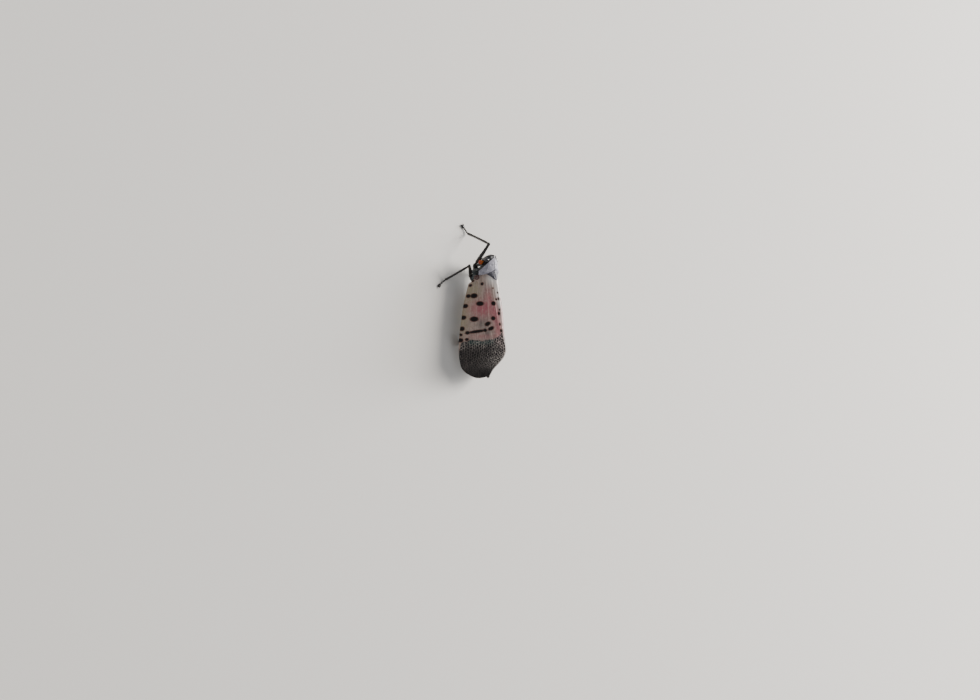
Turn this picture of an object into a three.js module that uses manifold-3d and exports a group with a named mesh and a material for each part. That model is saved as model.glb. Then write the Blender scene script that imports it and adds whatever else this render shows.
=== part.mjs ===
import * as THREE from 'three';
import { mergeVertices } from 'three/addons/utils/BufferGeometryUtils.js';
import Module from 'manifold-3d';

// Spotted lanternfly at rest with its wings folded, life size, in millimetres.
// +Z is up, +Y points ahead and +X is the insect's right. Places along the body are written
// as stations: the distance behind the front of the head.

const wasm = await Module();
wasm.setup();

// Driving dimensions of the whole insect
const GAP = 0.3;
const BODY_LENGTH = 25.7;
const RIDGE_HEIGHT = 10.25;
const COSTAL_HALF_WIDTH = 5.65;
const COSTAL_HEIGHT = 2.25;

// Wings
const WING_THICKNESS = 0.5;
const VEIN_HEIGHT = 0.2;
const VEIN_HALF_WIDTH = 0.02;
const VEIN_RISES_OVER = 0.12;
const VEIN_FADES_OVER = 0.15;
const SHOULDER_OUT = 0.62;
const SHOULDER_DROP = 0.25;
const INNER_COLUMN = { root: 0.06, margin: 0.045 };
const ROW_EASE = 1.15;
const HINGE_BALL = { out: 2.3, station: 6, height: 5.1, across: 1.5, along: 0.9, up: 1.1 };
const TEGULA = { out: 3.1, station: 4.7, height: 4.5, across: 0.5, along: 0.62, up: 0.75 };
const WING_ROOT_INNER = 4.2;
const WING_ROOT_COSTAL = 5.8;
const WING_ROOT_EASE = 3;
const WING_APEX_ACROSS = 0.5;
const FOREWING_APEX = { end: BODY_LENGTH, depthInner: 0.9, depthCostal: 2.4 };
const HINDWING_APEX = { end: 20.3, depthInner: 2.6, depthCostal: 4 };
const APEX_ROUNDNESS = 1.9;
const HINDWING_ROOT = 6.6;
const HINDWING_INNER_EDGE = 0.12;
const HINDWING_COSTAL_EDGE = 0.86;
const PAST_MIDDLE = -0.05;

// Head
const HEAD_TOP = 7;
const HEAD_FOOT = 2.95;
const EYE_RADIUS = 0.6;
const EYE_OUT = 1.32;
const EYE_STATION = 1.15;
const EYE_HEIGHT = 6.1;
const EYE_FLATNESS = 0.92;
const HEAD_SQUARENESS = 2.3;
const ANTENNA_BULB = 0.46;
const ANTENNA_STALK = 0.3;
const BRISTLE_LENGTH = 1.5;
const BRISTLE_RADIUS = 0.2;
const ROSTRUM_ROOT_RADIUS = 0.34;
const ROSTRUM_TIP_RADIUS = 0.25;

// Collar plate, scutellum and body
const COLLAR_THICKNESS = 0.5;
const COLLAR_CENTRE_HEIGHT = 4.3;
const COLLAR_REACH = THREE.MathUtils.degToRad(72);
const COLLAR_FRONT = { station: 0.6, sweep: 2.95, halfWidth: 2.25, height: 2.75 };
const COLLAR_BACK = { station: 2.9, sweep: 1.15, halfWidth: 2.85, height: 3.1 };
const COLLAR_LENGTH = COLLAR_BACK.station + COLLAR_BACK.sweep - COLLAR_FRONT.station;
const SWEPT_POWER = 1.3;
const SWEPT_GAP = 1.4;
const SCUTELLUM_FRONT = 3.4;
const SCUTELLUM_TIP = 5.75;
const SCUTELLUM_SWEEP = 0.95;
const SCUTELLUM_HALF_WIDTH = 2.1;
const SCUTELLUM_TIP_HALF_WIDTH = 0.22;
const SCUTELLUM_HEIGHT = 7.42;
const SCUTELLUM_TIP_HEIGHT = 7.72;
const SCUTELLUM_CAMBER = 0.2;
const KEEL_HEIGHT = 0.12;
const THORAX_SQUARENESS = 2.3;
const THORAX_END = 8.5;
const ABDOMEN_SQUARENESS = 2.15;
const ABDOMEN_END = 19.6;
const ABDOMEN_SEGMENTS = 6;

// Legs
const COXA_RADIUS = 0.62;
const COXA_END_RADIUS = 0.44;
const FEMUR_RADIUS = 0.4;
const KNEE_RADIUS = 0.33;
const TIBIA_RADIUS = 0.26;
const ANKLE_RADIUS = 0.27;
const TARSUS_RADIUS = 0.25;
const PAD_LENGTH = 0.62;
const PAD_HALF_WIDTH = 0.36;
const PAD_HEIGHT = 0.34;
const CLAW_LENGTH = 0.5;
const CLAW_RADIUS = 0.14;
const SPINE_COUNT = 5;
const SPINE_LENGTH = 0.55;
const SPINE_RADIUS = 0.13;
const THORN_TIP_RADIUS = 0.03;

const LIMB_SIDES = 10;
const LEFT = -1;
const RIGHT = 1;

const FINISH = {
  cuticle: new THREE.MeshStandardMaterial({ color: '#1c1a1b', roughness: 0.45, metalness: 0 }),
  headPlate: new THREE.MeshStandardMaterial({ color: '#2b282a', roughness: 0.4, metalness: 0 }),
  collar: new THREE.MeshStandardMaterial({ color: '#a9a6a4', roughness: 0.6, metalness: 0 }),
  scutellum: new THREE.MeshStandardMaterial({ color: '#55535a', roughness: 0.6, metalness: 0 }),
  eye: new THREE.MeshStandardMaterial({ color: '#3a2a26', roughness: 0.25, metalness: 0 }),
  antenna: new THREE.MeshStandardMaterial({ color: '#e0561b', roughness: 0.5, metalness: 0 }),
  forewing: new THREE.MeshStandardMaterial({ color: '#c3b2a9', roughness: 0.65, metalness: 0 }),
  hindwing: new THREE.MeshStandardMaterial({ color: '#b3222a', roughness: 0.6, metalness: 0 }),
  abdomen: new THREE.MeshStandardMaterial({ color: '#d6ac2c', roughness: 0.55, metalness: 0 }),
};

const alongBody = (station) => BODY_LENGTH / 2 - station;
const at = (x, station, z) => new THREE.Vector3(x, alongBody(station), z);

// A smooth value along the body, passing through [station, value] pairs.
function profile(...pairs) {
  const slopeAt = (k) => {
    const before = pairs[Math.max(k - 1, 0)];
    const after = pairs[Math.min(k + 1, pairs.length - 1)];
    return (after[1] - before[1]) / (after[0] - before[0]);
  };
  return (station) => {
    let k = 0;
    while (k < pairs.length - 2 && station > pairs[k + 1][0]) k += 1;
    const span = pairs[k + 1][0] - pairs[k][0];
    const t = (station - pairs[k][0]) / span;
    const ease = t * t * (3 - 2 * t);
    const leave = t * (1 - t) * (1 - t) * span * slopeAt(k);
    const arrive = t * t * (t - 1) * span * slopeAt(k + 1);
    if (t < 0) return pairs[k][1] + t * span * slopeAt(k);
    if (t > 1) return pairs[k + 1][1] + (t - 1) * span * slopeAt(k + 1);
    return pairs[k][1] * (1 - ease) + pairs[k + 1][1] * ease + leave + arrive;
  };
}

// Surfaces are closed meshes of shared points; these helpers tidy, fuse and cut them.
function tidySurface(geometry) {
  const bare = geometry.clone();
  bare.deleteAttribute('normal');
  bare.deleteAttribute('uv');
  const merged = mergeVertices(bare, 1e-5);
  const order = merged.index.array;
  const kept = [];
  for (let i = 0; i < order.length; i += 3) {
    const [a, b, c] = [order[i], order[i + 1], order[i + 2]];
    if (a !== b && b !== c && c !== a) kept.push(a, b, c);
  }
  merged.setIndex(kept);
  return merged;
}

function facingOut(geometry) {
  const spots = geometry.attributes.position;
  const order = Array.from(geometry.index.array);
  const corner = [new THREE.Vector3(), new THREE.Vector3(), new THREE.Vector3()];
  let volume = 0;
  for (let i = 0; i < order.length; i += 3) {
    corner.forEach((p, k) => p.fromBufferAttribute(spots, order[i + k]));
    volume += corner[0].dot(corner[1].cross(corner[2]));
  }
  if (volume < 0) {
    for (let i = 0; i < order.length; i += 3) {
      [order[i + 1], order[i + 2]] = [order[i + 2], order[i + 1]];
    }
    geometry.setIndex(order);
  }
  return geometry;
}

function solidOf(geometry) {
  const clean = facingOut(tidySurface(geometry));
  return new wasm.Manifold(new wasm.Mesh({
    numProp: 3,
    vertProperties: new Float32Array(clean.attributes.position.array),
    triVerts: new Uint32Array(clean.index.array),
  }));
}

// The largest closed surface of a solid, as a geometry.
function surfaceOf(solid) {
  const largest = solid.decompose().reduce((a, b) => (b.volume() > a.volume() ? b : a));
  const mesh = largest.getMesh();
  const geometry = new THREE.BufferGeometry();
  const spots = new Float32Array(mesh.vertProperties);
  geometry.setAttribute('position', new THREE.BufferAttribute(spots, 3));
  geometry.setIndex(Array.from(mesh.triVerts));
  return geometry;
}

const fuse = (pieces) => surfaceOf(pieces.map(solidOf).reduce((a, b) => a.add(b)));

const carve = (piece, cutters) => (
  surfaceOf(cutters.map(solidOf).reduce((rest, cutter) => rest.subtract(cutter), solidOf(piece)))
);

function geometryFrom(points, order) {
  const geometry = new THREE.BufferGeometry().setFromPoints(points);
  geometry.setIndex(order);
  return facingOut(tidySurface(geometry));
}

// A closed body through rings of equal count, each end closed to its middle.
function loft(rings) {
  const sides = rings[0].length;
  const points = rings.flat();
  const order = [];
  for (let i = 0; i < rings.length - 1; i += 1) {
    for (let k = 0; k < sides; k += 1) {
      const a = i * sides + k;
      const b = i * sides + ((k + 1) % sides);
      order.push(a, b, b + sides, a, b + sides, a + sides);
    }
  }
  [0, rings.length - 1].forEach((end) => {
    const middle = rings[end].reduce((sum, p) => sum.add(p), new THREE.Vector3()).divideScalar(sides);
    points.push(middle);
    for (let k = 0; k < sides; k += 1) {
      const a = end * sides + k;
      const b = end * sides + ((k + 1) % sides);
      if (end === 0) order.push(points.length - 1, b, a);
      else order.push(points.length - 1, a, b);
    }
  });
  return geometryFrom(points, order);
}

// A rounded rectangle or ellipse: power 2 is an ellipse, more is squarer.
function roundedRing(halfAcross, halfUp, power, sides) {
  return Array.from({ length: sides }, (_, k) => {
    const angle = (2 * Math.PI * k) / sides;
    const bend = (c) => Math.sign(c) * Math.abs(c) ** (2 / power);
    return new THREE.Vector2(halfAcross * bend(Math.cos(angle)), halfUp * bend(Math.sin(angle)));
  });
}

// A body part as upright sections [station, half width, lowest z, highest z] along the body.
function bodyPart(sections, power, sides, grow = 0) {
  const last = sections.length - 1;
  return loft(sections.map(([station, halfWidth, low, high], k) => {
    const ends = (k === last ? grow : 0) - (k === 0 ? grow : 0);
    const ring = roundedRing(halfWidth + grow, (high - low) / 2 + grow, power, sides);
    return ring.map((p) => at(p.x, station + ends, (high + low) / 2 + p.y));
  }));
}

// A ball stretched to three radii.
function ball(centre, across, along, up, sides = 14) {
  const geometry = new THREE.SphereGeometry(1, sides, Math.round(sides * 0.6));
  geometry.scale(across, along, up);
  geometry.translate(centre.x, centre.y, centre.z);
  return geometry;
}

// A turned rod from one point to another, from [distance, radius] pairs along it.
function rod(from, to, outline, sides = LIMB_SIDES) {
  const wall = outline.map(([distance, radius]) => new THREE.Vector2(radius, distance));
  const first = new THREE.Vector2(0, outline[0][0]);
  const final = new THREE.Vector2(0, outline[outline.length - 1][0]);
  const geometry = new THREE.LatheGeometry([first, ...wall, final], sides);
  const lie = new THREE.Vector3().subVectors(to, from).normalize();
  geometry.applyQuaternion(new THREE.Quaternion().setFromUnitVectors(new THREE.Vector3(0, 1, 0), lie));
  geometry.translate(from.x, from.y, from.z);
  return geometry;
}

// A cone from a sunk root to a point.
function thorn(root, tip, radius, sides = 5) {
  return rod(root, tip, [[0, radius], [root.distanceTo(tip), THORN_TIP_RADIUS]], sides);
}

// Folded wings lie like a roof: each station has a curve from the ridge down to the costal edge.
// Behind the abdomen the ridge falls in a round line to the wing tips, where the slopes close in.
const ridgeHeight = profile(
  [4, 7.35], [6, 7.85], [11, 8.85], [16, 9.45], [18, 9.8], [19.6, RIDGE_HEIGHT],
  [21, 9.75], [22.4, 8.3], [23.8, 6.5], [26, 5.2],
);
const costalHalfWidth = profile(
  [4, 3.1], [6, 3.75], [11, 4.85], [16, 5.45], [19, COSTAL_HALF_WIDTH], [22, 4.95], [24, 3.9], [26, 2.2],
);
const costalHeight = profile(
  [4, 3.6], [6, 3.3], [11, 2.75], [16, 2.4], [19, COSTAL_HEIGHT], [22, 1.9], [24, 1.6], [26, 1.4],
);

function roofPoint(station, across) {
  const ridge = new THREE.Vector2(GAP / 2, ridgeHeight(station));
  const edge = new THREE.Vector2(costalHalfWidth(station), costalHeight(station));
  const shoulder = new THREE.Vector2(
    edge.x * SHOULDER_OUT,
    THREE.MathUtils.lerp(ridge.y, edge.y, SHOULDER_DROP),
  );
  const spot = new THREE.QuadraticBezierCurve(ridge, shoulder, edge).getPoint(across);
  return at(spot.x, station, spot.y);
}

function roofNormal(station, across) {
  const step = 0.01;
  const alongRoof = roofPoint(station - step, across).sub(roofPoint(station + step, across));
  const downRoof = roofPoint(station, across + step).sub(roofPoint(station, across - step));
  return new THREE.Vector3().crossVectors(downRoof, alongRoof).normalize();
}

// A thin closed sheet on the roof. Both faces share one grid and are split alike.
function roofSheet({ side, rows, columns, stationOf, outer, inner, innermost = GAP / 2 }) {
  const pointAt = (column, u, offset) => {
    const across = column.across(u);
    const station = stationOf(u, across);
    const point = roofPoint(station, across);
    point.addScaledVector(roofNormal(station, across), offset(column, u));
    return new THREE.Vector3(side * Math.max(point.x, innermost), point.y, point.z);
  };
  const faces = [outer, inner].map((offset) => (
    rows.map((u) => columns.map((column) => pointAt(column, u, offset)))));
  const [high, low] = [rows.length, columns.length];
  const number = (face, i, j) => face * high * low + i * low + j;
  const order = [];
  for (let i = 0; i < high - 1; i += 1) {
    for (let j = 0; j < low - 1; j += 1) {
      order.push(number(0, i, j), number(0, i + 1, j), number(0, i + 1, j + 1));
      order.push(number(0, i, j), number(0, i + 1, j + 1), number(0, i, j + 1));
      order.push(number(1, i, j), number(1, i + 1, j + 1), number(1, i + 1, j));
      order.push(number(1, i, j), number(1, i, j + 1), number(1, i + 1, j + 1));
    }
  }
  const wall = (i0, j0, i1, j1) => {
    order.push(number(0, i0, j0), number(0, i1, j1), number(1, i1, j1));
    order.push(number(0, i0, j0), number(1, i1, j1), number(1, i0, j0));
  };
  for (let i = 0; i < high - 1; i += 1) {
    wall(i + 1, 0, i, 0);
    wall(i, low - 1, i + 1, low - 1);
  }
  for (let j = 0; j < low - 1; j += 1) {
    wall(0, j, 0, j + 1);
    wall(high - 1, j + 1, high - 1, j);
  }
  return geometryFrom(faces.flat(2), order);
}

// How far back the rounded wing margin lies at a place across the wing.
function apexStation(across, { end, depthInner, depthCostal }) {
  const inner = across < WING_APEX_ACROSS;
  const span = inner ? WING_APEX_ACROSS : 1 - WING_APEX_ACROSS;
  const t = Math.min(Math.abs(across - WING_APEX_ACROSS) / span, 1);
  const rise = 1 - (1 - t ** APEX_ROUNDNESS) ** (1 / APEX_ROUNDNESS);
  return end - (inner ? depthInner : depthCostal) * rise;
}

// Main veins: place across the wing at the root and at the margin, and how far they run.
const FOREWING_VEINS = [
  { root: 0.24, margin: 0.1, end: 0.55 },
  { root: 0.42, margin: 0.28, end: 1 },
  { root: 0.55, margin: 0.47, end: 1 },
  { root: 0.68, margin: 0.66, end: 1 },
  { root: 0.82, margin: 0.84, end: 0.95 },
];
const HINDWING_VEINS = [
  { root: 0.34, margin: 0.26, end: 1 },
  { root: 0.5, margin: 0.46, end: 1 },
  { root: 0.66, margin: 0.68, end: 1 },
];

// Grid columns of a wing: both edges, each vein with a column on either side, and one between.
function wingColumns(veins, innerEdge, costalEdge) {
  const flat = (root, margin) => ({ across: (u) => THREE.MathUtils.lerp(root, margin, u), vein: () => 0 });
  const columns = [
    flat(innerEdge, innerEdge),
    flat(innerEdge + INNER_COLUMN.root, innerEdge + INNER_COLUMN.margin),
  ];
  veins.forEach((vein, k) => {
    const line = (u) => THREE.MathUtils.lerp(vein.root, vein.margin, Math.min(u / vein.end, 1));
    const left = (u) => Math.max(0, vein.end - u) / VEIN_FADES_OVER;
    const fadeOut = (u) => (vein.end === 1 ? 1 : Math.min(1, left(u)));
    const raise = (u) => Math.min(1, u / VEIN_RISES_OVER) * fadeOut(u);
    [-1, 0, 1].forEach((s) => columns.push({
      across: (u) => line(u) + s * VEIN_HALF_WIDTH,
      vein: (u) => (s === 0 ? raise(u) : 0),
    }));
    const next = veins[k + 1] ?? { root: costalEdge, margin: costalEdge };
    columns.push(flat((vein.root + next.root) / 2, (vein.margin + next.margin) / 2));
  });
  columns.push(flat(costalEdge, costalEdge));
  return columns;
}

const plainColumns = (innerEdge, costalEdge, count = 12) => (
  Array.from({ length: count + 1 }, (_, j) => ({
    across: () => THREE.MathUtils.lerp(innerEdge, costalEdge, j / count),
    vein: () => 0,
  })));

// Rows lie closer together towards the rounded margin.
function wingRows(count) {
  return Array.from({ length: count + 1 }, (_, i) => Math.sin((Math.PI / 2) * (i / count)) ** ROW_EASE);
}

// A grown wing, which only cuts its neighbours, reaches just past the middle of the body.
const innermostOf = (grow) => (grow > 0 ? PAST_MIDDLE : GAP / 2);

function forewingSheet(side, grow = 0) {
  const edge = grow / costalHalfWidth(BODY_LENGTH / 2) / 2;
  return roofSheet({
    side,
    rows: wingRows(17),
    columns: grow > 0 ? plainColumns(-edge, 1 + edge) : wingColumns(FOREWING_VEINS, 0, 1),
    stationOf: (u, across) => {
      const lag = Math.max(across, 0) ** WING_ROOT_EASE;
      const start = THREE.MathUtils.lerp(WING_ROOT_INNER, WING_ROOT_COSTAL, lag) - grow;
      return THREE.MathUtils.lerp(start, apexStation(across, FOREWING_APEX), u);
    },
    outer: (column, u) => column.vein(u) * VEIN_HEIGHT + grow,
    inner: () => -WING_THICKNESS - grow,
    innermost: innermostOf(grow),
  });
}

const forewing = (side) => carve(forewingSheet(side), [scutellum(GAP)]);

function hindwing(side, grow = 0) {
  const depth = WING_THICKNESS + GAP;
  const edge = grow / costalHalfWidth(HINDWING_ROOT);
  return roofSheet({
    side,
    rows: wingRows(8),
    columns: wingColumns(HINDWING_VEINS, HINDWING_INNER_EDGE - edge, HINDWING_COSTAL_EDGE + edge),
    stationOf: (u, across) => {
      const end = apexStation(across, HINDWING_APEX) + grow;
      return THREE.MathUtils.lerp(HINDWING_ROOT - grow, end, u);
    },
    outer: () => -depth + grow,
    inner: (column, u) => -depth - WING_THICKNESS - column.vein(u) * VEIN_HEIGHT - grow,
    innermost: innermostOf(grow),
  });
}

// Head: level slices, each [z, half width, front station, back station], wide at the eyes.
const HEAD_SLICES = [
  [HEAD_FOOT, 0.42, 1.55, 2.3],
  [3.4, 0.75, 1.2, 2.35],
  [4.2, 1.05, 0.75, 2.35],
  [5.0, 1.25, 0.4, 2.2],
  [5.7, 1.38, 0.12, 2.0],
  [6.2, 1.4, 0, 1.75],
  [6.6, 1.25, 0.05, 1.4],
  [HEAD_TOP, 0.8, 0.22, 1],
];

function headShape(grow = 0) {
  const last = HEAD_SLICES.length - 1;
  return loft(HEAD_SLICES.map(([z, halfWidth, front, back], k) => {
    const ends = (k === last ? grow : 0) - (k === 0 ? grow : 0);
    const ring = roundedRing(halfWidth + grow, (back - front) / 2 + grow, HEAD_SQUARENESS, 18);
    return ring.map((p) => at(p.x, (front + back) / 2 + p.y, z + ends));
  }));
}

const head = () => carve(headShape(), [collar(GAP)]);

function eye(side) {
  const centre = at(side * EYE_OUT, EYE_STATION, EYE_HEIGHT);
  const bulge = ball(centre, EYE_RADIUS, EYE_RADIUS * EYE_FLATNESS, EYE_RADIUS, 14);
  return carve(bulge, [headShape(GAP), collar(GAP)]);
}

// Antenna: a short stalk, a bulb and a fine bristle, below the eye.
function antenna(side) {
  const root = at(side * 1.15, 1.45, 5.1);
  const bulb = at(side * 2.1, 1.6, 5.12);
  const lean = new THREE.Vector3(side * 0.8, 0.35, -0.5);
  const tip = bulb.clone().addScaledVector(lean, BRISTLE_LENGTH);
  return carve(fuse([
    rod(root, bulb, [[0, ANTENNA_STALK], [root.distanceTo(bulb), ANTENNA_STALK]], 8),
    ball(bulb, ANTENNA_BULB, ANTENNA_BULB, ANTENNA_BULB * 1.1, 10),
    thorn(bulb, tip, BRISTLE_RADIUS),
  ]), [headShape(GAP)]);
}

// Rostrum: the slender beak that lies back under the thorax between the legs.
function rostrum() {
  const curve = new THREE.CatmullRomCurve3([
    at(0, 1.95, HEAD_FOOT - 1.4 * GAP),
    at(0, 2.3, 2.1),
    at(0, 3.1, 1.55),
    at(0, 5.4, 1.25),
    at(0, 7.8, 1.2),
  ]);
  const steps = 9;
  const acrossX = new THREE.Vector3(1, 0, 0);
  return loft(Array.from({ length: steps + 1 }, (_, i) => {
    const t = i / steps;
    const normal = new THREE.Vector3().crossVectors(acrossX, curve.getTangentAt(t));
    const radius = THREE.MathUtils.lerp(ROSTRUM_ROOT_RADIUS, ROSTRUM_TIP_RADIUS, t);
    return roundedRing(radius, radius, 2, 8).map((p) => curve.getPointAt(t)
      .addScaledVector(acrossX, p.x).addScaledVector(normal, p.y));
  }));
}

// A thin plate as a grid. pointAt takes the place from side to side (-1 to 1), the place from
// front to rear (0 to 1) and how far the face lies outside the plate's top.
function plate(columns, rows, grow, pointAt) {
  const face = (offset) => Array.from({ length: rows + 1 }, (_, i) => (
    Array.from({ length: columns + 1 }, (__, j) => pointAt((2 * j) / columns - 1, i / rows, offset))));
  const over = face(grow);
  const under = face(-COLLAR_THICKNESS - grow);
  return closedBand(over.map((row, i) => [...row, ...under[i].slice().reverse()]));
}

// Collar plate (pronotum): a curved band over the front of the thorax. Its front reaches between
// the eyes and its sides sweep back.
function collar(grow = 0) {
  return plate(14, 3, grow, (spread, t, offset) => {
    const angle = spread * (COLLAR_REACH + grow / COLLAR_BACK.height);
    const frontSweep = COLLAR_FRONT.sweep * Math.abs(spread) ** SWEPT_POWER;
    const backSweep = COLLAR_BACK.sweep * Math.sin((Math.abs(spread) * Math.PI) / 2);
    const front = COLLAR_FRONT.station + frontSweep - grow * SWEPT_GAP;
    const back = COLLAR_BACK.station + backSweep + grow;
    const station = THREE.MathUtils.lerp(front, back, t);
    const share = (station - COLLAR_FRONT.station) / COLLAR_LENGTH;
    const halfWidth = THREE.MathUtils.lerp(COLLAR_FRONT.halfWidth, COLLAR_BACK.halfWidth, share) + offset;
    const height = THREE.MathUtils.lerp(COLLAR_FRONT.height, COLLAR_BACK.height, share) + offset;
    return at(
      halfWidth * Math.sin(angle),
      station,
      COLLAR_CENTRE_HEIGHT + height * Math.cos(angle),
    );
  });
}

// A closed body through rings that are thin strips, with flat ends split into quads.
function closedBand(rings) {
  const sides = rings[0].length;
  const order = [];
  for (let i = 0; i < rings.length - 1; i += 1) {
    for (let k = 0; k < sides; k += 1) {
      const a = i * sides + k;
      const b = i * sides + ((k + 1) % sides);
      order.push(a, b, b + sides, a, b + sides, a + sides);
    }
  }
  [0, rings.length - 1].forEach((end) => {
    for (let k = 0; k < sides / 2 - 1; k += 1) {
      const [a, b] = [end * sides + k, end * sides + k + 1];
      const [c, d] = [end * sides + sides - 2 - k, end * sides + sides - 1 - k];
      if (end === 0) order.push(a, c, b, a, d, c);
      else order.push(a, b, c, a, c, d);
    }
  });
  return geometryFrom(rings.flat(), order);
}

// Scutellum: the triangular plate between the wing bases, with its tip to the rear.
function scutellum(grow = 0) {
  return plate(8, 4, grow, (spread, t, offset) => {
    const slantGrow = grow * 1.4;
    const halfWidth = THREE.MathUtils.lerp(SCUTELLUM_HALF_WIDTH, SCUTELLUM_TIP_HALF_WIDTH, t) + slantGrow;
    const front = SCUTELLUM_FRONT + SCUTELLUM_SWEEP * Math.abs(spread) ** SWEPT_POWER - grow;
    const keel = KEEL_HEIGHT * (1 - Math.min(1, Math.abs(spread) * 3)) * (1 - t);
    const crest = THREE.MathUtils.lerp(SCUTELLUM_HEIGHT, SCUTELLUM_TIP_HEIGHT, t) + keel;
    return at(
      halfWidth * spread,
      THREE.MathUtils.lerp(front, SCUTELLUM_TIP + grow, t),
      crest - SCUTELLUM_CAMBER * (halfWidth * spread) ** 2 + offset,
    );
  });
}

// A ball at a place beside the body, for the wing hinge or the scale over it.
function ballBeside({ out, station, height, across, along, up }, side, grow = 0) {
  return ball(at(side * out, station, height), across + grow, along + grow, up + grow, 10);
}

// Thorax: the trunk that carries the legs, wings and plates.
const THORAX_SECTIONS = [
  [2.65, 1.15, 3.1, 5.6],
  [3.0, 1.55, 2.6, 6.2],
  [3.9, 2.0, 2.2, 6.6],
  [5.0, 2.35, 2.1, 7.0],
  [6.2, 2.5, 2.1, 7.1],
  [7.4, 2.45, 2.1, 6.7],
  [THORAX_END, 2.2, 2.2, 6.0],
];

function trunkPieces(grow = 0) {
  const hinges = [LEFT, RIGHT].map((side) => ballBeside(HINGE_BALL, side, grow));
  return [bodyPart(THORAX_SECTIONS, THORAX_SQUARENESS, 16, grow), ...hinges];
}

function thorax() {
  const cutters = [collar(GAP), scutellum(GAP)];
  [LEFT, RIGHT].forEach((side) => cutters.push(forewingSheet(side, GAP), hindwing(side, GAP)));
  return carve(fuse(trunkPieces()), cutters);
}

// Tegula: the small scale over the hinge of the forewing.
function tegula(side) {
  return carve(ballBeside(TEGULA, side), [forewingSheet(side, GAP), collar(GAP), ...trunkPieces(GAP)]);
}

// Abdomen: overlapping rings, each a little wider at its rear edge.
function abdomen() {
  const halfWidth = profile([8.8, 2.0], [11, 2.5], [14, 2.5], [17, 1.9], [ABDOMEN_END, 0.75]);
  const low = profile([8.8, 1.7], [11, 1.25], [14, 1.2], [17, 1.6], [ABDOMEN_END, 2.5]);
  const high = profile([8.8, 5.3], [11, 5.35], [14, 5.2], [17, 4.6], [ABDOMEN_END, 3.7]);
  const front = THORAX_END + GAP;
  const length = (ABDOMEN_END - front) / ABDOMEN_SEGMENTS;
  const sections = [];
  for (let k = 0; k < ABDOMEN_SEGMENTS; k += 1) {
    [[0.02, 0.14], [0.35, 0.03], [0.93, 0]].forEach(([t, inset]) => {
      const station = front + length * (k + t);
      sections.push([station, halfWidth(station) - inset, low(station) + inset, high(station) - inset]);
    });
  }
  return bodyPart(sections, ABDOMEN_SQUARENESS, 14);
}

// Legs: joints from root to toe. The left foreleg reaches ahead with its knee raised, and the
// right one is bent back beside the body.
const STANCE = {
  fore_left: [
    at(-1.0, 3.4, 3.0), at(-2.0, 2.1, 3.4), at(-1.15, -2.2, 6.65), at(-0.85, -4.5, 0.5), at(-2.3, -6.2, 0),
  ],
  fore_right: [
    at(1.0, 3.1, 3.0), at(1.9, 3.5, 1.5), at(5.3, 1.6, 1.7), at(7.6, 6.6, 0.5), at(8.0, 8.5, 0),
  ],
  middle_left: [
    at(-1.3, 5.0, 2.9), at(-2.6, 4.3, 2.7), at(-5.5, 2.4, 5.1), at(-7.7, 5.2, 0.5), at(-9.5, 6.6, 0),
  ],
  middle_right: [
    at(1.3, 5.0, 2.9), at(2.6, 4.8, 2.5), at(5.3, 7.5, 2.0), at(8.4, 10.6, 0.5), at(9.3, 12.4, 0),
  ],
  hind_left: [
    at(-1.1, 6.8, 2.6), at(-2.0, 7.4, 1.95), at(-3.2, 10.9, 1.75), at(-2.9, 16.4, 0.5), at(-3.0, 18.5, 0),
  ],
  hind_right: [
    at(1.1, 6.8, 2.6), at(2.0, 7.4, 1.95), at(3.9, 10.6, 1.75), at(4.2, 16.1, 0.5), at(4.7, 18.1, 0),
  ],
};

// How far from a joint a segment starts to stay clear of the one before: further at a sharp bend.
function startAfter(before, joint, after, jointRadius, ownRadius) {
  const clear = jointRadius + GAP;
  const back = new THREE.Vector3().subVectors(before, joint);
  const bend = back.angleTo(new THREE.Vector3().subVectors(after, joint));
  if (bend > Math.PI / 2) return clear;
  return (clear + ownRadius * Math.cos(bend)) / Math.sin(bend);
}

function coxa(root, hip) {
  const reach = root.distanceTo(hip);
  const shape = rod(root, hip, [
    [-0.2, COXA_RADIUS * 0.7],
    [reach * 0.3, COXA_RADIUS],
    [reach, COXA_END_RADIUS],
    [reach + 0.22, COXA_END_RADIUS * 0.62],
  ]);
  return carve(shape, [bodyPart(THORAX_SECTIONS, THORAX_SQUARENESS, 16, GAP)]);
}

function femur(root, hip, knee) {
  const length = hip.distanceTo(knee);
  const start = startAfter(root, hip, knee, COXA_END_RADIUS, FEMUR_RADIUS);
  return rod(hip, knee, [
    [start, FEMUR_RADIUS * 0.65],
    [start + 0.35, FEMUR_RADIUS * 0.85],
    [length * 0.45, FEMUR_RADIUS],
    [length - 0.5, KNEE_RADIUS * 0.9],
    [length, KNEE_RADIUS],
    [length + KNEE_RADIUS * 0.7, KNEE_RADIUS * 0.6],
  ]);
}

function tibia(hip, knee, ankle, spined) {
  const length = knee.distanceTo(ankle);
  const start = startAfter(hip, knee, ankle, KNEE_RADIUS, TIBIA_RADIUS);
  const shaft = rod(knee, ankle, [
    [start, TIBIA_RADIUS * 0.96],
    [start + 0.5, TIBIA_RADIUS],
    [length - 0.6, TIBIA_RADIUS],
    [length, ANKLE_RADIUS],
    [length + ANKLE_RADIUS * 0.7, ANKLE_RADIUS * 0.55],
  ]);
  if (!spined) return shaft;
  const lie = new THREE.Vector3().subVectors(ankle, knee).normalize();
  const outward = new THREE.Vector3(Math.sign(knee.x), 0, 0.25).normalize();
  const spines = Array.from({ length: SPINE_COUNT }, (_, k) => {
    const place = THREE.MathUtils.lerp(1.5, length - 0.35, k / (SPINE_COUNT - 1));
    const root = knee.clone().addScaledVector(lie, place);
    const tip = root.clone().addScaledVector(outward, SPINE_LENGTH).addScaledVector(lie, 0.45);
    return thorn(root, tip, SPINE_RADIUS);
  });
  return fuse([shaft, ...spines]);
}

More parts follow.
